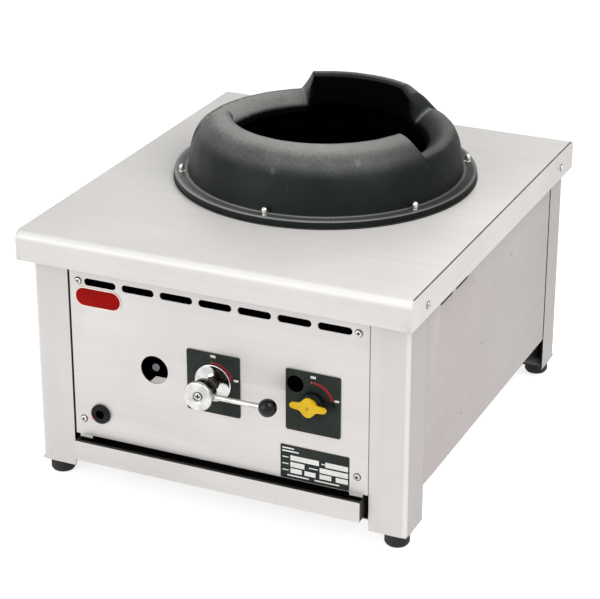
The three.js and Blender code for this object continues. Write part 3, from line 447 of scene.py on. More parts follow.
def joined(shapes: Iterable[Shape]) -> Shape:
    """Several shapes as one."""
    return reduce(Shape.__add__, shapes)


def grid(points: np.ndarray, round_rows: bool = False, round_columns: bool = False) -> Shape:
    """Joins a grid of points, rows by columns by 3, with four-sided faces.

    Where round_rows is set the last row meets the first, and so for the columns.
    """
    rows, columns = points.shape[:2]
    r, c = np.meshgrid(np.arange(rows - (not round_rows)), np.arange(columns - (not round_columns)),
                       indexing="ij")
    down, along = (r + 1) % rows, (c + 1) % columns
    quads = np.stack([r * columns + c, r * columns + along, down * columns + along,
                      down * columns + c], axis=-1).reshape(-1, 4)
    return Shape(points.reshape(-1, 3).astype(float), [tuple(q) for q in quads.tolist()])


def softened(points: Line, rounds: int = 2) -> np.ndarray:
    """Rounds a closed line: each round puts two points on every leg, a quarter from its ends."""
    line = np.array(points, float)
    for _ in range(rounds):
        leg = np.roll(line, -1, axis=0) - line
        line = np.stack([line + leg * 0.25, line + leg * 0.75], axis=1).reshape(-1, 2)
    return line


def eased_loop(points: Sequence[Point3], steps: int = 5, share: float = 0.5) -> np.ndarray:
    """Rounds the corners of a closed loop, each from its own reach away.

    A corner's reach is its third number, or a share of the leg where the leg is short. The curve is
    the quadratic one, (1-t)^2 start + 2t(1-t) corner + t^2 end.
    """
    line = np.array(points, float)
    corner, reach = line[:, :2], line[:, 2:]
    t = np.linspace(0, 1, steps)[None, :, None]
    ends = []
    for side in (1, -1):
        leg = np.roll(corner, side, axis=0) - corner
        length = np.linalg.norm(leg, axis=1, keepdims=True)
        ends.append((corner + leg / length * np.minimum(reach, length * share))[:, None])
    start, end = ends
    curve = (1 - t) ** 2 * start + 2 * t * (1 - t) * corner[:, None] + t ** 2 * end
    return curve.reshape(-1, 2)


def rounded_line(points: Line, radius: float, steps: int) -> np.ndarray:
    """Rounds the inner corners of an open line, each by one radius."""
    line = np.array(points, float)
    loop = eased_loop(np.column_stack([line, np.full(len(line), radius)]), steps + 1, 0.48)
    return np.vstack([line[:1], loop[steps + 1:-steps - 1], line[-1:]])


def turned(profile: Line, segments: int, hollow: bool = False) -> Shape:
    """Turns a profile about its own out direction.

    A point of the profile at radius r and height h becomes (r cos a, r sin a, h) for each angle a.

    Args:
        profile: Radius and height pairs.
        segments: Steps round the circle.
        hollow: Whether the profile's end joins its start, as on a ring.

    Returns:
        The turned surface, to be placed by its facing.
    """
    r, h = np.array(profile, float).T
    a = np.linspace(0, 2 * np.pi, segments, endpoint=False)[:, None]
    points = np.stack([r * np.cos(a), r * np.sin(a), np.broadcast_to(h, (segments, len(h)))], axis=-1)
    return grid(points, round_rows=True, round_columns=hollow)


def carried(outline: Line, length: float) -> Shape:
    """Carries a closed outline out along its own normal and caps both ends."""
    line = np.array(outline, float)
    count = len(line)
    ends = [np.column_stack([line, np.full(count, level)]) for level in (0.0, length)]
    side = grid(np.stack(ends), round_columns=True)
    side.faces += [tuple(range(count)), tuple(range(count, 2 * count))]
    return side


def circle(x: float, y: float, radius: float, steps: int = 48, start: float = 0,
           end: float = 360) -> np.ndarray:
    """Points round a circle or along an arc of it, in degrees."""
    whole = abs(end - start) >= 360
    a = np.radians(np.linspace(start, end, steps, endpoint=not whole))
    return np.stack([x + radius * np.cos(a), y + radius * np.sin(a)], axis=-1)


def rounded_box(x: float, y: float, width: float, height: float, radius: float,
                steps: int = 7) -> np.ndarray:
    """The outline of a rectangle with round corners, from its middle and its size."""
    a, b = width / 2 - radius, height / 2 - radius
    corners = [(a, b, 0), (-a, b, 90), (-a, -b, 180), (a, -b, 270)]
    return np.vstack([circle(x + u, y + v, radius, steps, turn, turn + 90) for u, v, turn in corners])


def band(radius: float, widths: Point2, turn: Point2, steps: int = 40) -> np.ndarray:
    """A curved band round the origin whose width changes evenly over its turn, in degrees."""
    ray = circle(0, 0, 1, steps, *turn)
    half = np.linspace(*widths, steps)[:, None] / 2
    return np.vstack([ray * (radius + half), (ray * (radius - half))[::-1]])


def from_curve(flat: bpy.types.Curve, thickness: float) -> Shape:
    """Takes the mesh of a flat curve or a text, with its back at 0, and deletes both."""
    holder = bpy.data.objects.new("flat", flat)
    bpy.context.scene.collection.objects.link(holder)
    bpy.context.view_layer.update()
    mesh = bpy.data.meshes.new_from_object(holder)
    bpy.data.objects.remove(holder)
    bpy.data.curves.remove(flat)
    points = np.zeros(len(mesh.vertices) * 3)
    mesh.vertices.foreach_get("co", points)
    faces = [tuple(face.vertices) for face in mesh.polygons]
    bpy.data.meshes.remove(mesh)
    return Shape(points.reshape(-1, 3) / MM, faces).out(thickness / 2)


def plate(outline: np.ndarray, thickness: float, holes: Sequence[np.ndarray] = (),
          edge: float = 0.25, edge_steps: int = 1) -> Shape:
    """A flat plate with holes and softened edges.

    Args:
        outline: Its outer edge, in its own right and up.
        thickness: From its back, at 0, out to its face.
        holes: Outlines of the holes.
        edge: The radius of its edges.
        edge_steps: How finely they are rounded.

    Returns:
        The plate, to be placed by its facing.
    """
    flat = bpy.data.curves.new("plate", "CURVE")
    flat.dimensions, flat.fill_mode = "2D", "BOTH"
    flat.extrude = (thickness / 2 - edge) * MM
    flat.bevel_depth, flat.offset = edge * MM, -edge * MM
    flat.bevel_resolution = edge_steps
    for line in (outline, *holes):
        spline = flat.splines.new("POLY")
        spline.points.add(len(line) - 1)
        ends = np.column_stack([line * MM, np.zeros(len(line)), np.ones(len(line))])
        spline.points.foreach_set("co", ends.ravel())
        spline.use_cyclic_u = True
    return from_curve(flat, thickness)


def lettering(words: str, size: float, thickness: float = 0.12, weight: float = 0.4) -> Shape:
    """Plain bold letters, centred on the origin."""
    text = bpy.data.curves.new("letters", "FONT")
    text.body = words
    text.size, text.extrude, text.offset = size * MM, thickness / 2 * MM, weight * MM
    text.align_x = text.align_y = "CENTER"
    return from_curve(text, thickness)


@dataclass(frozen=True)
class Box:
    """A node's lowest and highest corners, in millimetres."""

    low: np.ndarray
    high: np.ndarray

    @property
    def middle(self) -> np.ndarray:
        """The box's middle."""
        return (self.low + self.high) / 2

    @property
    def size(self) -> np.ndarray:
        """Width, depth and height."""
        return self.high - self.low


def box_of(node: str) -> Box:
    """The box of a node."""
    low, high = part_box(node)
    return Box(np.array(low) / MM, np.array(high) / MM)


# ---------------------------------------------------------------- pieces
DOUBLE = 2e-6
FLAT_ANGLE = 0.5


@dataclass(frozen=True)
class Edges:
    """How a piece's edges are finished.

    bevel and the sheet's thickness are in millimetres, angle in degrees: what turns more is an edge.
    """

    bevel: float = 0.0
    thickness: float = 0.0
    angle: float = 32.0


def add(name: str, mesh: bpy.types.Mesh, flat: bool, finish: Finish, body: str,
        stands_for: Sequence[str], edges: Edges) -> None:
    """Adds a mesh as a piece: merges its doubles, turns its faces outward and dresses it.

    Args:
        name: The piece's name.
        mesh: Its mesh, in metres.
        flat: Whether faces in one plane are joined.
        finish: What it is made of.
        body: The body that it moves with.
        stands_for: The nodes that it replaces.
        edges: How its edges are finished.
    """
    work = bmesh.new()
    work.from_mesh(mesh)
    bmesh.ops.remove_doubles(work, verts=work.verts, dist=DOUBLE)
    bmesh.ops.dissolve_degenerate(work, edges=work.edges, dist=DOUBLE / 20)
    if flat:
        bmesh.ops.dissolve_limit(work, angle_limit=math.radians(FLAT_ANGLE), verts=work.verts,
                                 edges=work.edges)
    bmesh.ops.recalc_face_normals(work, faces=work.faces)
    work.to_mesh(mesh)
    work.free()
    mesh.polygons.foreach_set("use_smooth", np.ones(len(mesh.polygons), bool))
    mesh.set_sharp_from_angle(angle=math.radians(edges.angle))
    mesh.materials.clear()
    mesh.materials.append(finish.material())
    piece = bpy.data.objects.new(name, mesh)
    bpy.context.scene.collection.objects.link(piece)
    if edges.thickness:
        wall = piece.modifiers.new("wall", "SOLIDIFY")
        wall.thickness, wall.offset, wall.use_even_offset = edges.thickness * MM, -1, True
    if edges.bevel:
        soft = piece.modifiers.new("edges", "BEVEL")
        soft.width, soft.segments, soft.use_clamp_overlap = edges.bevel * MM, 2, True
        soft.limit_method, soft.angle_limit = "ANGLE", math.radians(edges.angle)
    if edges.bevel or edges.thickness:
        piece.modifiers.new("faces", "WEIGHTED_NORMAL").keep_sharp = True
    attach(piece, body)
    if stands_for:
        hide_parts(*stands_for)
    log.info("%s: %d vertices, %s, on %s", name, len(mesh.vertices), finish.name, body)


def make(name: str, shape: Shape, finish: Finish, body: str = CASING, stands_for: Sequence[str] = (),
         edges: Edges = Edges(), tints: dict[str, np.ndarray] | None = None) -> None:
    """Makes a piece from a shape in the row frame.

    tints holds numbers for each point that the finish reads, by name; add says what the rest is.
    """
    mesh = bpy.data.meshes.new(name)
    mesh.from_pydata(shape.points * MM, [], shape.faces)
    for key, amount in (tints or {}).items():
        mesh.attributes.new(key, "FLOAT", "POINT").data.foreach_set("value", amount.ravel())
    add(name, mesh, False, finish, body, stands_for, edges)


def refine(node: str, finish: Finish, bevel: float) -> None:
    """Replaces a node by a copy with merged faces, softened edges and a finish, on its body."""
    source = frame["nodes"][node]
    add(f"{node}_finished", source.data.copy(), True, finish, source["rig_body"], (node,), Edges(bevel))


# ---------------------------------------------------------------- casing
@dataclass
class Worktop:
    """The folded worktop sheet, its side trims and the dark seam beside the right one."""

    sheet: float = 1.5
    front_radius: float = 12.0
    rear_radius: float = 4.0
    front_return: float = 12.0
    rear_return: float = 7.2
    side_radius: float = 1.2
    side_turn: float = 7.0
    overlap: float = 0.35
    seam_width: float = 2.4
    seam_ends: Point2 = (9.0, 3.0)
    hole_radius: float = 183.0
    spokes: int = 288
    hoops: int = 8
    bend_steps: int = 9
    small_bend_steps: int = 4
    box: Box = field(default_factory=lambda: box_of("worktop"))
    hole: np.ndarray = field(default_factory=lambda: box_of("fire_bowl").middle[:2])

    @cached_property
    def top_points(self) -> np.ndarray:
        """The flat top's points, hoop by hoop from the round cut-out to the rim.

        Each spoke runs from the cut-out's circle to where its ray leaves the rectangle; a point is
        circle + share * (rectangle - circle).
        """
        low = self.box.low[:2] + [self.side_radius, self.front_radius] - self.hole
        high = self.box.high[:2] - [self.side_radius, self.rear_radius] - self.hole
        corners = [math.atan2(y, x) for x in (low[0], high[0]) for y in (low[1], high[1])]
        even = np.linspace(-np.pi, np.pi, self.spokes, endpoint=False)
        near = np.abs(even[:, None] - np.array(corners)).min(axis=1) < np.pi / self.spokes
        turns = np.sort(np.concatenate([even[~near], corners]))
        ray = np.stack([np.cos(turns), np.sin(turns)], axis=-1)
        reach = np.where(ray > 0, high, -low) / np.maximum(np.abs(ray), 1e-9)
        share = np.linspace(0, 1, self.hoops)[:, None, None]
        return self.hole + ray * (self.hole_radius
                                  + share * (reach.min(axis=1)[:, None] - self.hole_radius))

    def fold(self, across: int, sign: int, radius: float, tail: Sequence[Point2]) -> Shape:
        """One rolled edge of the sheet and what hangs from it.

        The quarter circle radius (sin t, 1 - cos t), out and down, leads from the top into the tail,
        and both are carried along the points of the rim.

        Args:
            across: The axis that the edge looks along, 0 for X and 1 for Y.
            sign: Whether it looks up or down that axis.
            radius: The bend's radius.
            tail: Out and down of the points after the bend.

        Returns:
            The strip.
        """
        steps = self.bend_steps if radius > self.side_radius else self.small_bend_steps
        t = np.linspace(0, np.pi / 2, steps)
        bend = radius * np.stack([np.sin(t), 1 - np.cos(t)], axis=-1)
        out, down = np.vstack([bend, tail]).T
        edge = (self.box.high if sign > 0 else self.box.low)[across] - sign * radius
        rim = self.top_points[-1]
        run = np.sort(rim[np.abs(rim[:, across] - edge) < 1e-6, 1 - across])
        points = np.empty((len(run), len(out), 3))
        points[..., 1 - across] = run[:, None]
        points[..., across] = edge + sign * out
        points[..., 2] = self.box.high[2] - down
        return grid(points)

    def sheet_shape(self) -> Shape:
        """The top with its round cut-out and its four folds."""
        flat = self.top_points
        level = np.full((*flat.shape[:2], 1), self.box.high[2])
        drop = self.box.size[2]
        parts = [grid(np.concatenate([flat, level], axis=-1), round_columns=True)]
        for sign, radius, inward in ((-1, self.front_radius, self.front_return),
                                     (1, self.rear_radius, self.rear_return)):
            parts.append(self.fold(1, sign, radius, [(radius, drop * 0.5), (radius, drop),
                                                     (radius - inward, drop)]))
        parts += [self.fold(0, sign, self.side_radius, [(self.side_radius, self.side_turn)])
                  for sign in (-1, 1)]
        return joined(parts)

    def trim_shape(self, sign: int, facing: Facing) -> Shape:
        """A side trim: the worktop's side profile with its rolled front and rear corners."""
        box = box_of("side_trim_right")
        (_, first, foot), (outer, last, top) = box.low, box.high
        front, rear = self.front_radius, self.rear_radius
        outline = np.vstack([[[first, foot]], circle(first + front, top - front, front, 12, 180, 90),
                             circle(last - rear, top - rear, rear, 6, 90, 0), [[last, foot]]])
        inner = box.low[0] - self.side_radius - self.overlap
        side = plate(outline * [sign, 1], outer - inner, edge=0.3, edge_steps=2)
        return side.placed(facing, (sign * inner, 0, 0))

    def build(self) -> None:
        """Builds the sheet, the trims and the dark seam along the right one."""
        make("worktop_sheet", self.sheet_shape(), LIT_TOP_STEEL, stands_for=("worktop",),
             edges=Edges(thickness=self.sheet, angle=40))
        for name, sign, facing in SIDES:
            make(f"side_trim_{name}_plate", self.trim_shape(sign, facing), TRIM_STEEL,
                 stands_for=(f"side_trim_{name}",))
        (_, first, _), (right, last, top) = self.box.low, self.box.high
        first, last = first + self.seam_ends[0], last - self.seam_ends[1]
        seam = plate(rounded_box(0, 0, self.seam_width, last - first, 0.6, 4), 0.4, edge=0.1)
        make("worktop_seam", seam.placed(Facing.UP, (right - 0.5, (first + last) / 2, top - 0.3)),
             JOINT_DARK)


@dataclass
class Screw:
    """A pan-head screw with a cross recess."""

    radius: float = 5.0
    height: float = 2.6
    recess: float = 1.5
    recess_width: float = 0.85
    recess_reach: float = 2.9
    rings: int = 22
    spokes: int = 48

    def head(self) -> Shape:
        """The head as a height over a disc.

        From the middle out the height is that of a flattened dome, height * (1 - (r/R)^4)^0.5,
        less a cross: deep where the point lies within the recess's width of either bar.
        """
        share = np.linspace(0, 1, self.rings)[:, None] ** 0.85
        turn = np.linspace(0, 2 * np.pi, self.spokes, endpoint=False)[None, :]
        x, y = self.radius * share * np.cos(turn), self.radius * share * np.sin(turn)
        dome = self.height * (0.25 + 0.75 * np.sqrt(np.clip(1 - share ** 4, 0, 1)))
        inside = np.clip((self.recess_width - np.minimum(np.abs(x), np.abs(y))) / 0.25, 0, 1)
        inside *= np.clip((self.recess_reach - np.maximum(np.abs(x), np.abs(y))) / 0.6, 0, 1)
        top = grid(np.stack([x, y, dome - self.recess * inside], axis=-1), round_columns=True)
        foot = turned([(0, 0), (self.radius, 0), (self.radius, self.height * 0.25)], self.spokes)
        return top + foot

    def recess_shade(self) -> Shape:
        """Two crossed bars of painted shade in the recess and a thin ring of it round the head."""
        reach, width = 2 * self.recess_reach, 1.5 * self.recess_width
        bars = [carried(rounded_box(0, 0, *size, 0.2, 3), 0.1).out(self.height - self.recess + 0.12)
                for size in ((reach, width), (width, reach))]
        inner, outer = self.radius - 0.4, self.radius + 0.7
        shade = turned([(inner, 0), (outer, 0), (outer, 0.12), (inner, 0.12)], self.spokes, hollow=True)
        return joined([*bars, shade])


@dataclass
class Casing:
    """Legs, feet, panels, their screws and the brackets under the front panel.

    The round holes are given by the X and Z of their middles and their radii. backs says how far
    behind the front panel the black sheets of painted shade stand behind its vents, sight hole and
    lighting hole; vent_back is the first one's room beside the vents, its height and its drop below
    them, and lighting_back the last one's X, Z, width and height.
    """

    vent: Point2 = (50.4, 10.8)
    vent_pitch: float = 60.0
    front_vents: int = 7
    side_vents: Point2 = (-183.5, -123.5)
    vent_height: float = 321.0
    side_vent_height: float = 334.6
    side_joint: float = 1.6
    side_overlap: float = 0.9
    left_joint: float = 2.1
    shade_sheet: float = 1.0
    sheet: float = 1.5
    panel_return: float = 12.0
    corner_room: float = 54.0
    dimple_radius: float = 1.5
    dimples: tuple[Point2, ...] = ((-31, 199), (91, 291), (-110, 121))
    lighting_hole: Point3 = (-97.0, 204.0, 21.5)
    sight_hole: Point3 = (122.0, 227.6, 14.0)
    igniter_hole: Point3 = (-186.5, 116.0, 11.4)
    spindle_holes: tuple[Point3, ...] = ((-3.5, 204.0, 8.0), (148.5, 204.0, 8.0))
    pipe_hole: Point3 = (17.0, 130.0, 13.5)
    backs: Point3 = (14.0, 2.6, 60.0)
    vent_back: Point3 = (58.0, 26.0, 4.0)
    lighting_back: Point4 = (-128.0, 175.0, 64.0, 60.0)
    bracket: Point3 = (20.0, 10.0, 4.6)
    bracket_sheet: float = 1.2
    bracket_inset: float = 18.0

    @cached_property
    def vent_row(self) -> np.ndarray:
        """The X of each vent in the front and rear panels."""
        return (np.arange(self.front_vents) - (self.front_vents - 1) / 2) * self.vent_pitch

    def vents(self, places: Sequence[float], height: float) -> list[np.ndarray]:
        """A row of round-ended slots."""
        return [rounded_box(x, height, *self.vent, self.vent[1] / 2 - 0.01, 9) for x in places]

    def panel(self, name: str, facing: Facing, ends: Point2, holes: list[np.ndarray],
              finish: Finish) -> None:
        """A panel: its face, and behind it the folded-in edges at its foot and head.

        Args:
            name: The panel's node.
            facing: The way it looks.
            ends: Where its face starts and ends along its own right, from its middle.
            holes: Outlines of its holes, from the same middle.
            finish: What it is made of.
        """
        box = box_of(name)
        right, _, out = np.array(facing.value, float)
        middle = box.middle * [1, 1, 0]
        outline = rounded_box(sum(ends) / 2, box.middle[2], ends[1] - ends[0], box.size[2], 0.8, 3)
        at = middle + out * (box.size / 2 - self.sheet)
        parts = [plate(outline, self.sheet, holes, 0.3, 2).placed(facing, at)]
        tucked = abs(right) * (box.size - self.corner_room) + abs(out) * self.panel_return
        inner = middle + out * (box.size - self.panel_return) / 2
        strip = plate(rounded_box(0, 0, *tucked[:2], 1, 2), self.sheet)
        parts += [strip.placed(Facing.UP, (*inner[:2], z))
                  for z in (box.low[2], box.high[2] - self.sheet)]
        make(f"{name}_sheet", joined(parts), finish, stands_for=(name,))

    def front(self) -> None:
        """The front panel and black sheets of painted shade in the gap at its left and behind its holes.
        """
        box = box_of("front_panel")
        (left, y, _), right, height = box.low, box.high[0], box.size[2]
        holes = [circle(*hole, steps=64) for hole in
                 (self.lighting_hole, self.sight_hole, self.igniter_hole)]
        holes += [circle(*hole, 32) for hole in self.spindle_holes]
        self.panel("front_panel", Facing.FRONT, (left + self.left_joint, right),
                   self.vents(self.vent_row, self.vent_height) + holes, FRONT_STEEL)
        # Painted shade: a black strip behind the gap at the panel's left.
        shade = rounded_box(left + self.left_joint / 2, box.middle[2], self.left_joint + 0.5, height,
                            0.2, 2)
        joint = plate(shade, self.shade_sheet).placed(Facing.FRONT, (0, y + self.shade_sheet + 0.3, 0))
        make("front_panel_joint_shade", joint, BLACK_MATT)
        # Painted shade: black sheets behind the vents, the sight hole and the lighting hole.
        (x, z, radius), (room, tall, drop) = self.sight_hole, self.vent_back
        backs = (rounded_box(0, self.vent_height - drop, np.ptp(self.vent_row) + room, tall, 2),
                 circle(x, z, radius + 1.5), rounded_box(*self.lighting_back, 4))
        shades = [plate(loop, 0.6).out(-depth) for loop, depth in zip(backs, self.backs)]
        make("front_panel_shade_sheets", joined(shades).placed(Facing.FRONT, (0, y, 0)), BLACK_MATT)

    def rear(self) -> None:
        """The rear panel with the same vents and the gas pipe's hole."""
        box = box_of("rear_panel")
        inset, z, radius = self.pipe_hole
        pipe = circle(-(box_of("gas_pipe").low[0] + inset), z, radius, 48)
        self.panel("rear_panel", Facing.REAR, (box.low[0], box.high[0]),
                   [*self.vents(self.vent_row, self.vent_height), pipe], FRONT_STEEL)

    def side(self, name: str, sign: int, facing: Facing) -> None:
        """A side panel with two vents near the front, and painted shade: dark pressed dimples and a
        brown strip behind the joint at its rear.
        """
        box = box_of(f"{name}_panel")
        middle, outer = box.middle[1], (box.high if sign > 0 else box.low)[0]
        holes = self.vents([(y - middle) * sign for y in self.side_vents], self.side_vent_height)
        first, last = box.low[1] - self.side_overlap - middle, box.high[1] - self.side_joint - middle
        self.panel(f"{name}_panel", facing, (first, last) if sign > 0 else (-last, -first), holes,
                   SHADED_SIDE_STEEL)
        # Painted shade: the dimples' dark tone stands for the shade in their hollows.
        r = self.dimple_radius
        profile = [(0, -0.2), (r, -0.2), (r, 0.05), (r * 0.7, 0.3), (r * 0.35, 0.42), (0, 0.45)]
        marks = [turned(profile, 20).placed(facing, (outer, y, z)) for y, z in self.dimples]
        make(f"{name}_panel_marks", joined(marks), DIMPLE_SHADE)
        # Painted shade: a brown strip behind the gap at the panel's rear.
        shade = plate(rounded_box(sign * (box.high[1] - middle - 2), box.middle[2], 8, box.size[2],
                                  0.5, 2), self.shade_sheet)
        behind = (outer - sign * (self.sheet + 0.1), middle, 0)
        make(f"{name}_panel_joint_shade", shade.placed(facing, behind), JOINT_SHADE_BROWN)

    def leg(self, side: str, end: str) -> None:
        """A leg and the round foot under it."""
        refine(f"leg_{side}_{end}", LEG_STEEL, 0.35)
        box = box_of(f"foot_{side}_{end}")
        r = box.size[0] / 2
        pad = [(0, 0), (r - 4, 0), (r - 2.6, 0.5), (r - 1.6, 1.6), (r - 1.2, 3.0), (r, 4.2), (r, 19.4),
               (r - 0.5, 20.8), (r - 1.6, 21.6), (4, 21.7), (4, 40), (3.2, 44), (0, 44)]
        make(f"foot_{side}_{end}_pad", turned(pad, 56).placed(Facing.UP, (*box.middle[:2], 0)),
             RUBBER, stands_for=(f"foot_{side}_{end}",))

    def screws(self) -> None:
        """The heads on the panel's and the trims' screw nodes; the nodes end at the heads' tops."""
        screw = Screw()
        nodes = [(f"panel_screw_{side}_{level}", Facing.FRONT)
                 for side in ("left", "right") for level in ("low", "high")]
        nodes += [(f"trim_screw_{side}_{end}", facing)
                  for side, _, facing in SIDES for end in ("front", "rear")]
        whole = screw.head() + turned([(0, 0), (2, 0), (2, -9), (0, -11)], 12)
        for node, facing in nodes:
            box = box_of(node)
            at = box.middle + np.array(facing.value[2]) * (box.size / 2 - screw.height)
            make(f"{node}_head", whole.placed(facing, at), SCREW_ZINC, stands_for=(node,))
            # Painted shade: black bars in each recess and a black ring round each head.
            make(f"{node}_recess", screw.recess_shade().placed(facing, at), BLACK_MATT)

    def brackets(self) -> None:
        """Small bright angles under the front panel that hold it to the legs."""
        box = box_of("front_panel")
        (width, depth, height), t = self.bracket, self.bracket_sheet
        section = rounded_line([(0, 0), (0, height), (depth, height)], t, 3)
        strip = np.vstack([section, [[depth, height - t]], (section + [t, -t])[::-1][1:]])
        for name, sign, _ in SIDES:
            at = (sign * (box.high[0] - self.bracket_inset) - width / 2, box.low[1] + 0.5,
                  box.low[2] - height - 0.3)
            make(f"bracket_{name}", carried(strip, width).placed(Facing.RIGHT, at), LIT_TOP_STEEL,
                 edges=Edges(0.2))

    def build(self) -> None:
        """Builds the whole casing."""
        self.front()
        self.rear()
        for name, sign, facing in SIDES:
            self.side(name, sign, facing)
            for end in ("front", "rear"):
                self.leg(name, end)
        self.screws()
        self.brackets()


# ---------------------------------------------------------------- wok ring
@dataclass
class Bolt:
    """One of the ring's tall domed bolts with a thin washer."""

    radius: float = 4.4
    height: float = 11.8
    washer_radius: float = 4.9
    washer: float = 0.9
    neck: float = 3.0
    dome: float = 4.4

    def shape(self) -> Shape:
        """A washer, a neck, a nut's round flank and a dome, turned about one axis."""
        cap = circle(0, 0, 1, 16, 0, 90) * [self.radius * 0.94, self.dome]
        foot = [(0, 0), (self.washer_radius, 0), (self.washer_radius, self.washer),
                (self.neck, self.washer), (self.neck, 2.4), (self.radius * 0.9, 2.8)]
        return turned(np.vstack([foot, cap + [0, self.height - self.dome]]), 36)


@dataclass
class WokRing:
    """The cast-iron ring: high in front, lowered at both sides, with a raised lip at the rear.

    A section is a closed loop of radius, height above the ring's seat and rounding; all three go
    on from the foot's. stations gives, at angles in degrees from +X, the shares of the front's, the
    side's and the lip's section, and seams the angles of the steps beside the lip, which get a
    painted highlight.
    """

    seat: float = field(default_factory=lambda: box_of("wok_ring").low[2])
    centre: np.ndarray = field(default_factory=lambda: box_of("fire_bowl").middle[:2])
    columns: int = 960
    crowding: float = 7.0
    easing: float = 0.3
    flange: float = 9.0
    stations: tuple[Point4, ...] = (
        (-19.8, 1, 0, 0), (-17.6, 0, 1, 0), (50.3, 0, 1, 0), (54.5, 0, 0.3, 0.7), (60, 0, 0, 1),
        (121, 0, 0, 1), (125.4, 0, 1, 0), (201.6, 0, 1, 0), (203.8, 1, 0, 0))
    seams: Point2 = (50.4, 125.2)
    foot: tuple[Point3, ...] = ((226.4, 0, 0.6), (226.4, 8, 1), (225.6, 9, 1), (222.8, 9, 0.2),
                                (220.6, 9, 0.2), (212, 9, 0.2), (209.4, 9, 0.2), (206.5, 9, 2.2))
    front: tuple[Point3, ...] = (
        (203, 32, 20), (198, 52, 20), (187, 73, 20), (173, 88, 20), (161, 95.5, 20), (150, 98, 20),
        (144, 97, 3.5), (139, 90, 3), (138, 72, 8), (168, 62, 8), (183, 44, 8), (190, 24, 8), (193, 0, 1))
    side: tuple[Point3, ...] = (
        (204, 30, 20), (201.5, 46, 20), (197.5, 59, 10), (191, 69, 2.5), (184, 72.5, 8), (175, 70.5, 10),
        (164, 63, 8), (154, 54, 4), (150, 44, 2), (168, 38, 8), (183, 44, 8), (190, 24, 8), (193, 0, 1))
    lip: tuple[Point3, ...] = (
        (203, 34, 20), (197, 56, 20), (187, 77, 20), (174, 93, 20), (162, 104, 8), (153, 110, 5),
        (146, 109.5, 2.5), (142, 105, 2.5), (139, 60, 3), (150, 62, 3), (159, 86, 4), (182, 56, 8),
        (193, 0, 1))

    def shares(self, angles: np.ndarray) -> np.ndarray:
        """The three sections' shares at some angles.

        They go evenly from station to station and are then averaged over a bell curve of the
        easing's width, as the pattern's edges are rounded in casting.
        """
        fine = np.arange(-90, 270, 0.25)
        at, *shares = np.array(self.stations).T
        raw = np.stack([np.interp(fine, at, share) for share in shares])
        bell = np.exp(-0.5 * (np.arange(-4, 4.25, 0.25) / self.easing) ** 2)
        wide = np.concatenate([raw[:, -16:], raw, raw[:, :16]], axis=1)
        eased = [np.convolve(row, bell / bell.sum(), "valid") for row in wide]
        return np.stack([np.interp(angles, fine, row) for row in eased])

    def angles(self) -> np.ndarray:
        """Angles round the ring, closer together where the section changes.

        Their density is 1 + crowding * change, and they are even steps of its running sum.
        """
        fine = np.linspace(-90, 270, 2881)
        change = np.abs(np.gradient(self.shares(fine), axis=1)).sum(axis=0)
        total = np.cumsum(1 + self.crowding * change / change.max())
        total = (total - total[0]) / (total[-1] - total[0])
        return np.interp(np.arange(self.columns) / self.columns, total, fine)

    @staticmethod
    def unevenness(a: np.ndarray, level: np.ndarray) -> np.ndarray:
        """A slow wander of the cast surface, a sum of waves round and up the ring."""
        return (0.35 * np.sin(3 * a + 0.4) + 0.3 * np.sin(7 * a + level / 21)
                + 0.22 * np.sin(13 * a - level / 13 + 1.1) + 0.16 * np.sin(29 * a + level / 9 + 2.3))

    def wear_and_highlight(self, angles: np.ndarray, share: np.ndarray, r: np.ndarray,
             h: np.ndarray) -> np.ndarray:
        """How much rubbing and painted light lighten each point.

        Rubbing shows on the crest, with a painted highlight that is stronger in front; a painted sheen
        lies on the shoulder in front, painted highlight lines on the flange's edges, stronger to the
        left, and a painted highlight inside the left side's throat and on the steps beside the lip.

        A bell exp(-((x - middle) / width)^2) marks each of them.

        Args:
            angles: The columns' angles in degrees.
            share: The front's, the side's and the lip's share of each column.
            r: The points' radii.
            h: Their heights above the seat.

        Returns:
            Values from 0 to 1.
        """
        front, side, lip = share
        a = np.radians(angles)
        # Painted light: ahead and left weigh the marks towards the front and the left, where more light
        # falls.
        left, ahead = np.clip(-np.cos(a), 0, 1), 0.6 + 0.4 * np.clip(-np.sin(a), 0, 1)
        crest = h.max(axis=1, keepdims=True)
        rubbed_and_lit = np.exp(-((crest - h) / 9.0) ** 2) * np.clip((r - 142) / 10, 0, 1)
        rubbed_and_lit = rubbed_and_lit * (0.1 + 0.5 * front * ahead + 0.1 * lip)
        shoulder = 0.32 * np.exp(-((crest - 22 - h) / 13.0) ** 2) * (r > 160) * front * ahead
        # Painted highlights: light lines along the flange's edges.
        lines = (r > 222.4) * 0.6 + (r < 210) * 0.4 + (r > 209) * left * 0.22
        lines = lines * np.exp(-(h - self.flange) ** 2)
        seams = sum(np.exp(-((angles - seam) / 0.5) ** 2) * 0.5 for seam in self.seams)
        throat = self.inner(h) * (h > 40) * (side * left * 0.6 + seams)
        return np.clip(rubbed_and_lit + shoulder + lines + throat, 0, 1)

    def soot(self, angles: np.ndarray, share: np.ndarray, r: np.ndarray,
             h: np.ndarray) -> np.ndarray:
        """How dark each point is: soot in the throat below its crest, painted shade on the right side
        and a darker band on the flange's top.

        It takes and returns what the method above does.
        """
        front, side, lip = share
        crest = h.max(axis=1, keepdims=True)
        depth = np.clip((crest - 4 - h) / 4, 0, 1) * (front + lip)
        depth = depth + side * np.clip((61 - h) / 14, 0, 1)
        low = h < self.flange + 0.5
        # Painted shade: the right side is darker, as less light falls on it.
        right = np.clip(np.cos(np.radians(angles)), 0, 1) * np.where(low, 0.44, 0.37)
        flange = 0.4 * low * np.exp(-((r - 215.5) / 5.5) ** 4)
        return np.clip(np.maximum(np.maximum(self.inner(h) * depth, right), flange), 0, 1)

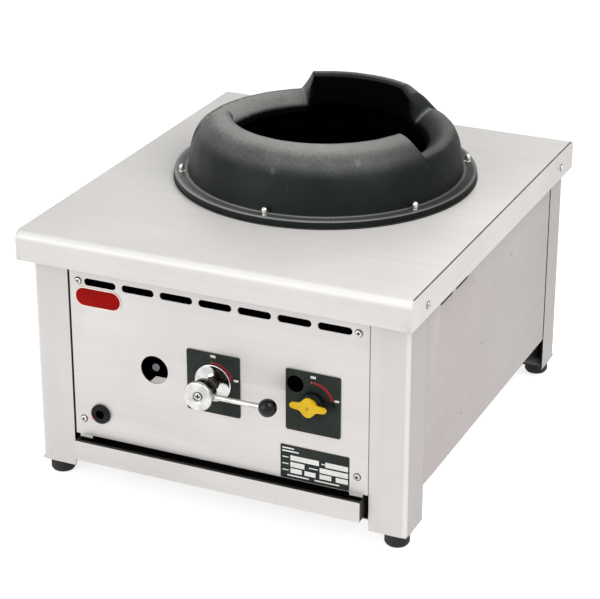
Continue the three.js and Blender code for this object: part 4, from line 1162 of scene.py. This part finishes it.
    @staticmethod
    def inner(h: np.ndarray) -> np.ndarray:
        """True for the points of each section that come after its crest, inside the ring."""
        return np.arange(h.shape[1])[None, :] > h.argmax(axis=1)[:, None]

    def build(self) -> None:
        """Builds the ring and its bolts.

        A point is centre + r (cos a, sin a) at height h, where (r, h) is the sum of the sections'
        points, each times its share at the angle a.
        """
        loops = np.stack([eased_loop([*self.foot, *part])
                          for part in (self.front, self.side, self.lip)])
        angles = self.angles()
        share = self.shares(angles)
        r, h = np.einsum("sc,spk->kcp", share, loops)
        angles, share = angles[:, None], share[:, :, None]
        a = np.radians(angles)
        above = np.clip((h - 12) / 25, 0, 1)
        r = r + above * (self.unevenness(a, h) - 0.3)
        h = h + 0.35 * above * (self.unevenness(a * 2 + 1, r) - 1)
        points = np.stack([self.centre[0] + r * np.cos(a), self.centre[1] + r * np.sin(a),
                           self.seat + h], axis=-1)
        tints = {"wear_and_highlight": self.wear_and_highlight(angles, share, r, h), "soot": self.soot(angles, share, r, h)}
        make("wok_ring_casting", grid(points, round_rows=True, round_columns=True), RING_IRON,
             stands_for=("wok_ring",), edges=Edges(angle=60), tints=tints)
        for number in range(1, 7):
            node = f"ring_screw_{number}"
            at = (*box_of(node).middle[:2], self.seat + self.flange - 0.4)
            make(f"{node}_dome", Bolt().shape().placed(Facing.UP, at), DOME_ZINC, stands_for=(node,))


@dataclass
class FireBowl:
    """The spun bowl under the ring: flange, sloping wall and flat floor with a rolled-up rim."""

    sheet: float = 1.5
    flange: float = 227.8
    mouth: float = 178.0
    waist: Point2 = (150.0, 298.6)
    floor: float = 98.0
    clean_flange: float = 215.0
    segments: int = 128

    def build(self) -> None:
        """Turns the bowl's section: its outer line, and back along its inner, sooty one."""
        box = box_of("fire_bowl")
        (_, _, foot), (_, _, top), t = box.low, box.high, self.sheet
        radius, height = self.waist
        outer = rounded_line([(self.flange, top - t), (self.mouth, top - t), (radius, height),
                              (self.floor, foot)], 9, 6)
        inner = rounded_line([(self.floor, foot + t), (radius - t, height + 1.4), (self.mouth - t, top),
                              (self.flange, top)], 9, 6)
        shape = turned(np.vstack([outer, inner]), self.segments, hollow=True)
        sooty = np.concatenate([np.zeros(len(outer)), inner[:, 0] < self.clean_flange])
        tints = {"wear_and_highlight": np.zeros(len(shape.points)), "soot": np.tile(sooty, self.segments)}
        make("fire_bowl_spun", shape.placed(Facing.UP, (*box.middle[:2], 0)), BOWL_STEEL,
             stands_for=("fire_bowl",), tints=tints)


# ---------------------------------------------------------------- controls
MAIN_AXIS, PILOT_AXIS = (-3.5, 204.0), (148.5, 204.0)
FACE = -319.6


@dataclass
class Dial:
    """A printed plate behind a handle: a red arc from ON at the top to OFF at the right."""

    node: str
    axis: Point2
    on_mark: Point2
    off_mark: Point2
    arc_radius: float
    arc_widths: Point2
    sight: tuple[Point3, ...] = ()
    size: Point2 = (82.0, 93.0)
    corner: float = 3.0
    thickness: float = 1.5
    hole: float = 8.0
    ink: float = 0.12
    sink: float = 0.03
    letter: float = 4.8
    off_scale: float = 0.8
    arc_turn: Point2 = (94.0, 15.0)

    def build(self) -> None:
        """Builds the plate, its marks and its arc."""
        box = box_of(self.node)
        (x, _, z), front = box.middle, box.low[1]
        axis_x, axis_z = self.axis
        holes = [circle(axis_x - x, axis_z - z, self.hole, 40)]
        holes += [circle(u - x, v - z, radius, 56) for u, v, radius in self.sight]
        face = plate(rounded_box(0, 0, *self.size, self.corner), self.thickness, holes, 0.3, 2)
        make(f"{self.node}_sheet", face.placed(Facing.FRONT, (x, front + self.thickness, z)),
             DIAL_PAINT, stands_for=(self.node,))
        y = front + self.sink
        arc = plate(band(self.arc_radius, self.arc_widths, self.arc_turn), self.ink, edge=0.03)
        make(f"{self.node}_arc", arc.placed(Facing.FRONT, (axis_x, y, axis_z)), RED_INK)
        words = [lettering(word, size).placed(Facing.FRONT, (u, y, v)) for word, size, (u, v) in
                 (("ON", self.letter, self.on_mark),
                  ("OFF", self.letter * self.off_scale, self.off_mark))]
        make(f"{self.node}_marks", joined(words), WHITE_INK)
        tick = plate(rounded_box(0, 0, 1.1, self.arc_widths[0] + 1.0, 0.2, 3), self.ink, edge=0.03)
        top = (axis_x - 2.4, y - 0.02, axis_z + self.arc_radius)
        make(f"{self.node}_tick", tick.placed(Facing.FRONT, top), GREY_INK)


@dataclass
class MainLever:
    """The chrome lever: escutcheon, hub with a grooved collar, knob disc, rod and black ball.

    The profiles are radius and height pairs, from the face of the casing or the piece's own back.
    """

    rod_plane: float = -358.5
    disc_plane: float = -362.1
    reach: float = 102.0
    rod_radius: float = 4.0
    ball_radius: float = 13.0
    disc_radius: float = 21.5
    dish: tuple[Point2, ...] = (
        (5.6, 0), (28, 0), (28, 1.3), (27.6, 1.9), (26.6, 2.2), (25.4, 2.0), (23, 1.9), (19, 2.4),
        (15, 3.4), (12, 4.5), (10.5, 5), (8.1, 5), (7.9, 4.6), (5.6, 4.6))
    hub: tuple[Point2, ...] = (
        (0, -33.9), (4.6, -33.9), (5, -33.4), (5, 5.3), (7.5, 5.3), (7.5, 18.5), (9, 19.6), (15.5, 21.8),
        (17.2, 22.6), (17.6, 23.6), (17.6, 27), (16.4, 27.6), (16.4, 29), (17.6, 29.6), (17.6, 41.3),
        (17, 42.2), (0, 42.2))
    ferrule: tuple[Point2, ...] = ((4.05, 0), (5.0, 0), (5.2, 0.4), (5.2, 1.5), (4.6, 2.2), (4.05, 2.4))
    screw: Screw = field(default_factory=lambda: Screw(5.6, 2.2, 1.5, 1.0, 4.2))

    def disc_profile(self) -> np.ndarray:
        """The knob disc: fine turned rings round a sunk screw.

        The face's height over the radius is a shallow crown with a ripple, a cosine of the radius.
        """
        r, edge = np.arange(19.2, 8.9, -0.24), self.disc_radius
        crown = 6.55 + 0.35 * (1 - ((r - 12.5) / 7) ** 2) + 0.045 * np.cos(r * 2 * np.pi / 1.2)
        rim = [(0, 0), (edge - 1.1, 0), (edge, 1), (edge, 5.2), (edge - 0.5, 6.1), (edge - 1.4, 6.5)]
        seat = [(8.6, 6.4), (7.6, 5.6), (7.2, 3.9), (0, 3.9)]
        return np.vstack([rim, np.stack([r, crown], axis=-1), seat])

    def rod_profile(self) -> list[Point2]:
        """The rod, lightly tapered, from its start in the hub to its end in the ball."""
        x, r = MAIN_AXIS[0], self.rod_radius
        first, last = x + 6.3, x + self.reach - 2.6
        return [(0, first), (r - 0.4, first), (r, first + 0.5), (r, first + 14), (r * 0.96, last - 12),
                (r * 0.96, last - 0.5), (r - 0.6, last), (0, last)]

    def ball_profile(self) -> np.ndarray:
        """The ball with its flat seat, from the rod's hole to its far end on the axis."""
        along, out = circle(0, 0, self.ball_radius, 40, 160, 0).T
        out[-1] = 0
        return np.vstack([[(4.1, -3), (4.1, along[0])], np.stack([out, along], axis=-1)])

    def build(self) -> None:
        """Builds the lever; the escutcheon stays with the casing."""
        x, z = MAIN_AXIS
        ball = x + self.reach
        body, front, right = "main_lever", Facing.FRONT, Facing.RIGHT
        dish = turned(softened(self.dish), 96, hollow=True)
        make("escutcheon_dish", dish.placed(front, (x, FACE, z)), CHROME, stands_for=("escutcheon",),
             edges=Edges(angle=50))
        # The hub's darker chrome is painted shade.
        make("lever_hub_turned", turned(self.hub, 72).placed(front, (x, FACE, z)), SHADED_CHROME, body,
             ("lever_hub",))
        disc = turned(self.disc_profile(), 112).placed(front, (x, self.disc_plane, z))
        make("lever_disc_turned", disc, SATIN_CHROME, body, ("lever_disc",), Edges(angle=28))
        # Painted shade: the disc screw's recess bars and ring are black.
        for name, part, finish in (("screw", self.screw.head(), CHROME),
                                   ("recess", self.screw.recess_shade(), BLACK_MATT)):
            make(f"lever_disc_{name}", part.placed(front, (x, self.disc_plane - 4, z)), finish, body)
        make("lever_rod_drawn", turned(self.rod_profile(), 40).placed(right, (0, self.rod_plane, z)),
             SATIN_CHROME, body, ("lever_rod",))
        moulded = turned(self.ball_profile(), 72).placed(right, (ball, self.rod_plane, z))
        make("lever_ball_moulded", moulded, BLACK_GLOSS, body, ("lever_ball",), Edges(angle=60))
        ferrule = turned(self.ferrule, 40, hollow=True)
        at = (ball - self.ball_radius - 0.6, self.rod_plane, z)
        make("lever_ferrule", ferrule.placed(right, at), CHROME, body)


@dataclass
class PilotHandle:
    """The pilot valve's handle: a black base with a pointer under a yellow wing."""

    base: Point2 = (17.0, 11.0)
    wing_reach: float = 27.3
    wing_thickness: float = 5.4
    pointer: tuple[Point2, ...] = ((0, -5.5), (29.5, -5.5), (32.2, -3.4), (33, 0), (32.2, 3.4),
                                   (29.5, 5.5), (0, 5.5))
    hub: tuple[Point2, ...] = ((0, 0), (12.0, 0), (12.0, 4.5), (11.6, 6.6), (10.8, 7.6), (9.4, 8.4),
                               (6.5, 8.85), (3.2, 9.0), (2.8, 8.9), (2.6, 8.2), (0, 8.2))
    screw: Screw = field(default_factory=lambda: Screw(2.5, 1.2, 0.7, 0.45, 1.7, 12, 28))

    def wing_outline(self) -> np.ndarray:
        """A quarter of the wing's edge, from its tip to the diamond-round hub, mirrored twice."""
        reach = self.wing_reach
        quarter = np.array([(reach, 0), (reach, 1.6), (reach - 1.6, 3.4), (reach - 4.4, 4.5),
                            (18.5, 5.0), (13.5, 5.2), (10.4, 7.4), (7.0, 11.6), (3.4, 14.2),
                            (0, 14.6)])
        top = np.vstack([quarter, (quarter * [-1, 1])[-2::-1]])
        return softened(np.vstack([top, (top * [1, -1])[-2:0:-1]]), 3)

    def build(self) -> None:
        """Builds the base, the pointer, the wing and its screw."""
        (x, z), (r, h), body = PILOT_AXIS, self.base, "pilot_handle"
        section = [(0, -27.9), (4.6, -27.9), (5, -27.4), (5, 0), (r, 0), (r, h - 4.6),
                   (r - 0.5, h - 3.2), (r - 2, h - 1.4), (r - 3.6, h - 0.3), (r - 5, h), (0, h)]
        base = turned(section, 72) + plate(np.array(self.pointer), 5.0, edge=1.1, edge_steps=3)
        make("pilot_base_moulded", base.placed(Facing.FRONT, (x, FACE, z)), BLACK_SATIN, body,
             ("pilot_base",), Edges(angle=40))
        wing = plate(self.wing_outline(), self.wing_thickness, edge=1.8, edge_steps=4).out(2.4)
        front = FACE - h - 0.3
        make("pilot_wing_moulded", (wing + turned(self.hub, 48)).placed(Facing.FRONT, (x, front, z)),
             YELLOW, body, ("pilot_wing",), Edges(angle=50))
        screw = self.screw.head().placed(Facing.FRONT, (x, front - 7.9, z))
        make("pilot_wing_screw", screw, BRASS, body)


@dataclass
class Igniter:
    """The push igniter: a moulded bezel and barrel with a dished button and a red lamp bead."""

    at: Point3 = (-186.5, -317.8, 116.0)
    bead_at: Point3 = (-10.6, -3.6, -7.3)
    bead_radius: float = 2.1
    bezel: tuple[Point2, ...] = (
        (6.9, 3.4), (8.2, 3.8), (8.6, 3.4), (9.4, 3.2), (10.2, 3.5), (11, 4.0), (13.2, 4.0), (14.5, 3.4),
        (15, 2.2), (15, 0), (11, 0), (11, -44), (0, -44), (0, -12.1), (8.15, -12.1), (8.15, -3),
        (6.9, -2))
    button: tuple[Point2, ...] = ((0, 0.4), (3.5, 0.6), (5.4, 1.3), (6.1, 1.6), (6.5, 1.2), (6.5, -3.3),
                                  (7.75, -3.3), (7.75, -6), (0, -6))

    def build(self) -> None:
        """Builds the bezel, the button and the bead."""
        make("igniter_bezel", turned(self.bezel, 72).placed(Facing.FRONT, self.at), BLACK_SATIN,
             stands_for=("igniter_body",))
        make("igniter_button_dished", turned(self.button, 56).placed(Facing.FRONT, self.at), BLACK_MATT,
             "igniter_push", ("igniter_button",))
        r = self.bead_radius
        bead = [(0, -0.3), (r, -0.3), (r, 0.2), (r * 0.8, 0.65), (r * 0.4, 0.95), (0, 1.0)]
        at = np.add(self.at, self.bead_at)
        make("igniter_lamp", turned(bead, 24).placed(Facing.FRONT, at), RED_ENAMEL)


@dataclass
class LightingHole:
    """What shows behind the lighting hole: a shelf bracket with a round bolt head on its upright."""

    x: Point2 = (-117.0, -99.0)
    y: Point2 = (-315.6, -276.0)
    level: float = 172.0
    lip: float = 14.0
    sheet: float = 1.5
    upright: float = 24.0
    bolt: Point2 = (-116.5, 186.5)
    bolt_radius: float = 5.6

    def build(self) -> None:
        """Builds the shelf, folded down behind the panel and up at its far end, and the bolt."""
        (left, right), (near, far), t, top = self.x, self.y, self.sheet, self.level
        foot, head = top - self.lip, top + self.upright
        shelf = [(near, foot), (near, top), (far, top), (far, top - t), (near + t, top - t),
                 (near + t, foot)]
        wall = [(far - 0.1, top - t), (far - 0.1, head), (far + t, head), (far + t, top - t)]
        # The shelf's pale paint glows as painted light.
        for name, outline, length, start, finish in (
                ("shelf", shelf, right - left, left, PALE_PAINT),
                ("upright", wall, right - left + 12, left - 10, BLACK_MATT)):
            make(f"lighting_{name}", carried(outline, length).placed(Facing.RIGHT, (start, 0, 0)),
                 finish, edges=Edges(0.2))
        r, (x, z) = self.bolt_radius, self.bolt
        bolt = turned([(0, 0), (r, 0), (r, 1.6), (r - 0.8, 2.4), (r - 2.2, 2.6), (2.2, 2.6), (2.0, 1.8),
                       (0, 1.8)], 40)
        # The bolt's lilac paint glows as painted light.
        make("lighting_bolt", bolt.placed(Facing.FRONT, (x, far, z)), LILAC_PAINT)


@dataclass
class Plates:
    """The bare red badge and the generic rating plate.

    A box or bar is given by its left, right, top and bottom, as shares of the plate.
    """

    badge_rim: float = 1.6
    boxes: tuple[Point4, ...] = (
        (0.147, 0.564, 0.29, 0.44), (0.657, 0.985, 0.29, 0.44), (0.147, 0.353, 0.49, 0.64),
        (0.574, 0.985, 0.49, 0.64), (0.147, 0.314, 0.68, 0.82), (0.353, 0.515, 0.68, 0.82),
        (0.574, 0.745, 0.68, 0.82), (0.809, 0.985, 0.68, 0.82))
    bars: tuple[Point4, ...] = (
        (0.03, 0.2, 0.07, 0.11), (0.03, 0.27, 0.16, 0.2), (0.03, 0.12, 0.35, 0.38),
        (0.03, 0.12, 0.55, 0.58), (0.03, 0.12, 0.74, 0.77), (0.6, 0.65, 0.35, 0.38),
        (0.42, 0.55, 0.55, 0.58), (0.1, 0.42, 0.88, 0.92), (0.5, 0.86, 0.88, 0.92))

    def badge(self) -> None:
        """A pale rim round a crowned red pill, bare of any words."""
        box = box_of("badge_plate")
        (width, _, height), rim = box.size, self.badge_rim
        at = (box.middle[0], box.high[1], box.middle[2])
        outer, inner, pill = (
            rounded_box(0, 0, width - inset, height - inset, height / 2 - corner, 24)
            for inset, corner in ((0, 0.05), (2 * rim, rim + 0.05), (2 * rim - 0.1, rim)))
        make("badge_rim", plate(outer, 1.0, [inner], 0.25, 2).placed(Facing.FRONT, at), PALE_RIM,
             stands_for=("badge_plate",))
        make("badge_field", plate(pill, 0.85, edge=0.3, edge_steps=2).placed(Facing.FRONT, at),
             RED_ENAMEL)

    def rating_plate(self) -> None:
        """A dark plate with empty boxes and plain bars where words would stand."""
        box = box_of("nameplate")
        width, _, height = box.size
        base = plate(rounded_box(0, 0, width, height, 2, 8), 0.8, edge=0.2)
        make("rating_plate", base.placed(Facing.FRONT, (box.middle[0], box.high[1], box.middle[2])),
             DIAL_PAINT, stands_for=("nameplate",))
        for name, marks in (("boxes", self.boxes), ("bars", self.bars)):
            flats = [plate(rounded_box((u0 + u1) / 2 * width, -(v0 + v1) / 2 * height, (u1 - u0) * width,
                                       (v1 - v0) * height, 0.25, 3), 0.12, edge=0.03)
                     for u0, u1, v0, v1 in marks]
            front = (box.low[0], box.high[1] - 0.78, box.high[2])
            make(f"rating_plate_{name}", joined(flats).placed(Facing.FRONT, front), WHITE_INK)

    def build(self) -> None:
        """Builds both plates."""
        self.badge()
        self.rating_plate()


# ---------------------------------------------------------------- drip tray and works
@dataclass
class DripTray:
    """The folded drip tray: hemmed front, pan with walls, all of one sheet."""

    sheet: float = 1.0
    hem: float = 6.0
    mark_at: Point2 = (120.0, 55.0)
    mark: tuple[Point2, ...] = ((0, -0.2), (1.7, -0.2), (1.7, 0.0), (1.1, 0.25), (0.5, 0.28), (0, 0.25))

    def build(self) -> None:
        """Builds the tray's front, hem, walls and floor and its pressed mark."""
        box, t = box_of("drip_tray"), self.sheet
        (_, near, foot), (half, far, top) = box.low, box.high
        height, middle, length = box.size[2], box.middle[1], box.size[1] - 2 * t
        front, wall, back = (rounded_box(0, height / 2, width, height, corner, steps)
                             for width, corner, steps in ((2 * half, 1.2, 5), (length, 1.5, 4),
                                                          (2 * half - 2, 1.5, 4)))
        hem = [(near + 0.3, top - 1.8), (near + 0.3, top - 0.5), (near + 0.9, top),
               (near + self.hem, top), (near + self.hem, top - t), (near + 1.8, top - t),
               (near + 1.3, top - 1.8)]
        floor = rounded_box(0, 0, 2 * half - 2.4, length, 1, 3)
        parts = [plate(front, t, edge=0.3, edge_steps=2).placed(Facing.FRONT, (0, near + t, foot)),
                 carried(hem, 2 * half - 2).placed(Facing.RIGHT, (-half + 1, 0, 0))]
        parts += [plate(wall, t, edge=0.3).placed(Facing.RIGHT, (x, middle, foot))
                  for x in (half - 1 - t, -half + 1)]
        parts += [plate(back, t, edge=0.3).placed(Facing.REAR, (0, far - t, foot)),
                  plate(floor, t, edge=0.2).placed(Facing.UP, (0, middle, foot))]
        make("drip_tray_folded", joined(parts), TRAY_STEEL, "tray", ("drip_tray",))
        x, z = self.mark_at
        make("drip_tray_mark", turned(self.mark, 20).placed(Facing.FRONT, (x, near, z)), TRAY_STEEL,
             "tray")


@dataclass
class Works:
    """What the casing hides: burner, bridge, mixing tube, valves, pipes and the tray's rails."""

    bevel: float = 0.25
    finishes: dict[str, Finish] = field(default_factory=lambda: {
        "burner_body": BURNER_IRON, "burner_cap": BURNER_IRON, "burner_bridge": RAIL_ZINC,
        "mixing_tube": BURNER_IRON, "air_shutter": BRASS, "main_valve": BRASS, "injector": BRASS,
        "pilot_valve": BRASS, "gas_pipe": GREY_PIPE, "pilot_feed": COPPER, "pilot_burner": COPPER,
        "tray_rail_left": RAIL_ZINC, "tray_rail_right": RAIL_ZINC})

    def build(self) -> None:
        """Gives each node merged faces, softened edges and its finish."""
        for node, finish in self.finishes.items():
            refine(node, finish, self.bevel)


# ---------------------------------------------------------------- stage
@dataclass
class Lamp:
    """A soft rectangular lamp that looks at a point."""

    name: str
    at: Point3
    aim: Point3
    size: Point2
    watts: float

    def build(self) -> None:
        """Hangs the lamp."""
        data = bpy.data.lights.new(self.name, "AREA")
        data.shape = "RECTANGLE"
        data.size, data.size_y = self.size
        data.energy = self.watts
        lamp = bpy.data.objects.new(self.name, data)
        bpy.context.scene.collection.objects.link(lamp)
        lamp.location = self.at
        lamp.rotation_euler = (Vector(self.at) - Vector(self.aim)).to_track_quat("Z", "Y").to_euler()


@dataclass
class Studio:
    """A pale floor, soft lamps and the camera of the photograph, in metres.

    The floor glows white to the camera outside a box about shade_middle that reaches shade_reach
    either way, so that the object's shadow stays.
    """

    azimuth: float = 24.335
    elevation: float = 24.026
    position: Point3 = (1.2072, -2.7028, 1.5214)
    lens: float = 128.1
    sensor: float = 36.0
    floor_reach: float = 6.0
    floor_tone: Point4 = (0.86, 0.86, 0.86, 1)
    floor_glow: float = 0.78
    shade_middle: Point2 = (-0.07, 0.07)
    shade_reach: Point2 = (0.18, 0.24)
    shade_edge: float = 0.06
    sky_light: float = 0.32
    lamps: tuple[Lamp, ...] = (Lamp("key", (-1.55, -2.7, 1.3), (0, -0.1, 0.25), (2.4, 2.0), 33),
                               Lamp("top", (1.0, -0.4, 1.55), (0.05, -0.12, 0.4), (1.1, 1.1), 14))

    def camera(self) -> None:
        """The camera: its axis is turned by the azimuth and tipped down by the elevation."""
        data = bpy.data.cameras.new("camera")
        data.lens, data.sensor_width, data.clip_end = self.lens, self.sensor, 50
        camera = bpy.data.objects.new("camera", data)
        camera.location = self.position
        camera.rotation_euler = (math.radians(90 - self.elevation), 0, math.radians(self.azimuth))
        bpy.context.scene.collection.objects.link(camera)
        bpy.context.scene.camera = camera

    def floor(self) -> None:
        """The floor: white to the camera away from the object, with the object's soft shadow."""
        corners = [(x * self.floor_reach, y * self.floor_reach, 0)
                   for x, y in ((-1, -1), (1, -1), (1, 1), (-1, 1))]
        mesh = bpy.data.meshes.new("floor")
        mesh.from_pydata(corners, [], [(0, 1, 2, 3)])
        floor = bpy.data.objects.new("floor", mesh)
        bpy.context.scene.collection.objects.link(floor)
        material = bpy.data.materials.new("floor_paper")
        graph = Graph(material)
        beyond, other = (abs(graph.axis(name) - middle) - reach for name, middle, reach in
                         zip("XY", self.shade_middle, self.shade_reach))
        seen = graph.seen() * beyond.larger(other).step(0.0, self.shade_edge)
        paper = graph.node("ShaderNodeBsdfDiffuse", inputs={"Color": self.floor_tone})
        glow = graph.node("ShaderNodeEmission", inputs={"Color": (1, 1, 1, 1),
                                                        "Strength": seen * self.floor_glow})
        shader = graph.node("ShaderNodeAddShader", inputs={0: paper, 1: glow})
        graph.node("ShaderNodeOutputMaterial", inputs={"Surface": shader})
        mesh.materials.append(material)

    def world(self) -> None:
        """An even sky: white to the camera and in reflections, gentler as light on the object."""
        world = bpy.data.worlds.new("studio")
        bpy.context.scene.world = world
        graph = Graph(world)
        strength = graph.node("ShaderNodeMapRange", inputs={"Value": graph.seen(),
                                                            "To Min": self.sky_light, "To Max": 1.0})
        light = graph.node("ShaderNodeBackground", inputs={"Color": (1, 1, 1, 1), "Strength": strength})
        graph.node("ShaderNodeOutputWorld", inputs={"Surface": light})

    def build(self) -> None:
        """Sets up the whole studio."""
        bpy.context.scene.view_settings.view_transform = "Standard"
        self.camera()
        self.floor()
        self.world()
        for lamp in self.lamps:
            lamp.build()


def main() -> None:
    """Builds the studio and every sub-assembly in order."""
    logging.basicConfig(level=logging.INFO, format="%(name)s %(message)s")
    main_dial = Dial("dial_plate_main", MAIN_AXIS, (-3.4, 244.2), (32.0, 213.2), 30.4, (2.6, 3.4))
    pilot_dial = Dial("dial_plate_pilot", PILOT_AXIS, (149.0, 242.4), (184.2, 213.0), 30.2, (2.8, 4.4),
                      ((122.0, 227.6, 12.5),))
    for part in (Studio(), Worktop(), Casing(), WokRing(), FireBowl(), main_dial, pilot_dial,
                 MainLever(), PilotHandle(), Igniter(), LightingHole(), Plates(), DripTray(), Works()):
        log.info("building %s", type(part).__name__)
        part.build()


if __name__ == "__main__":
    main()
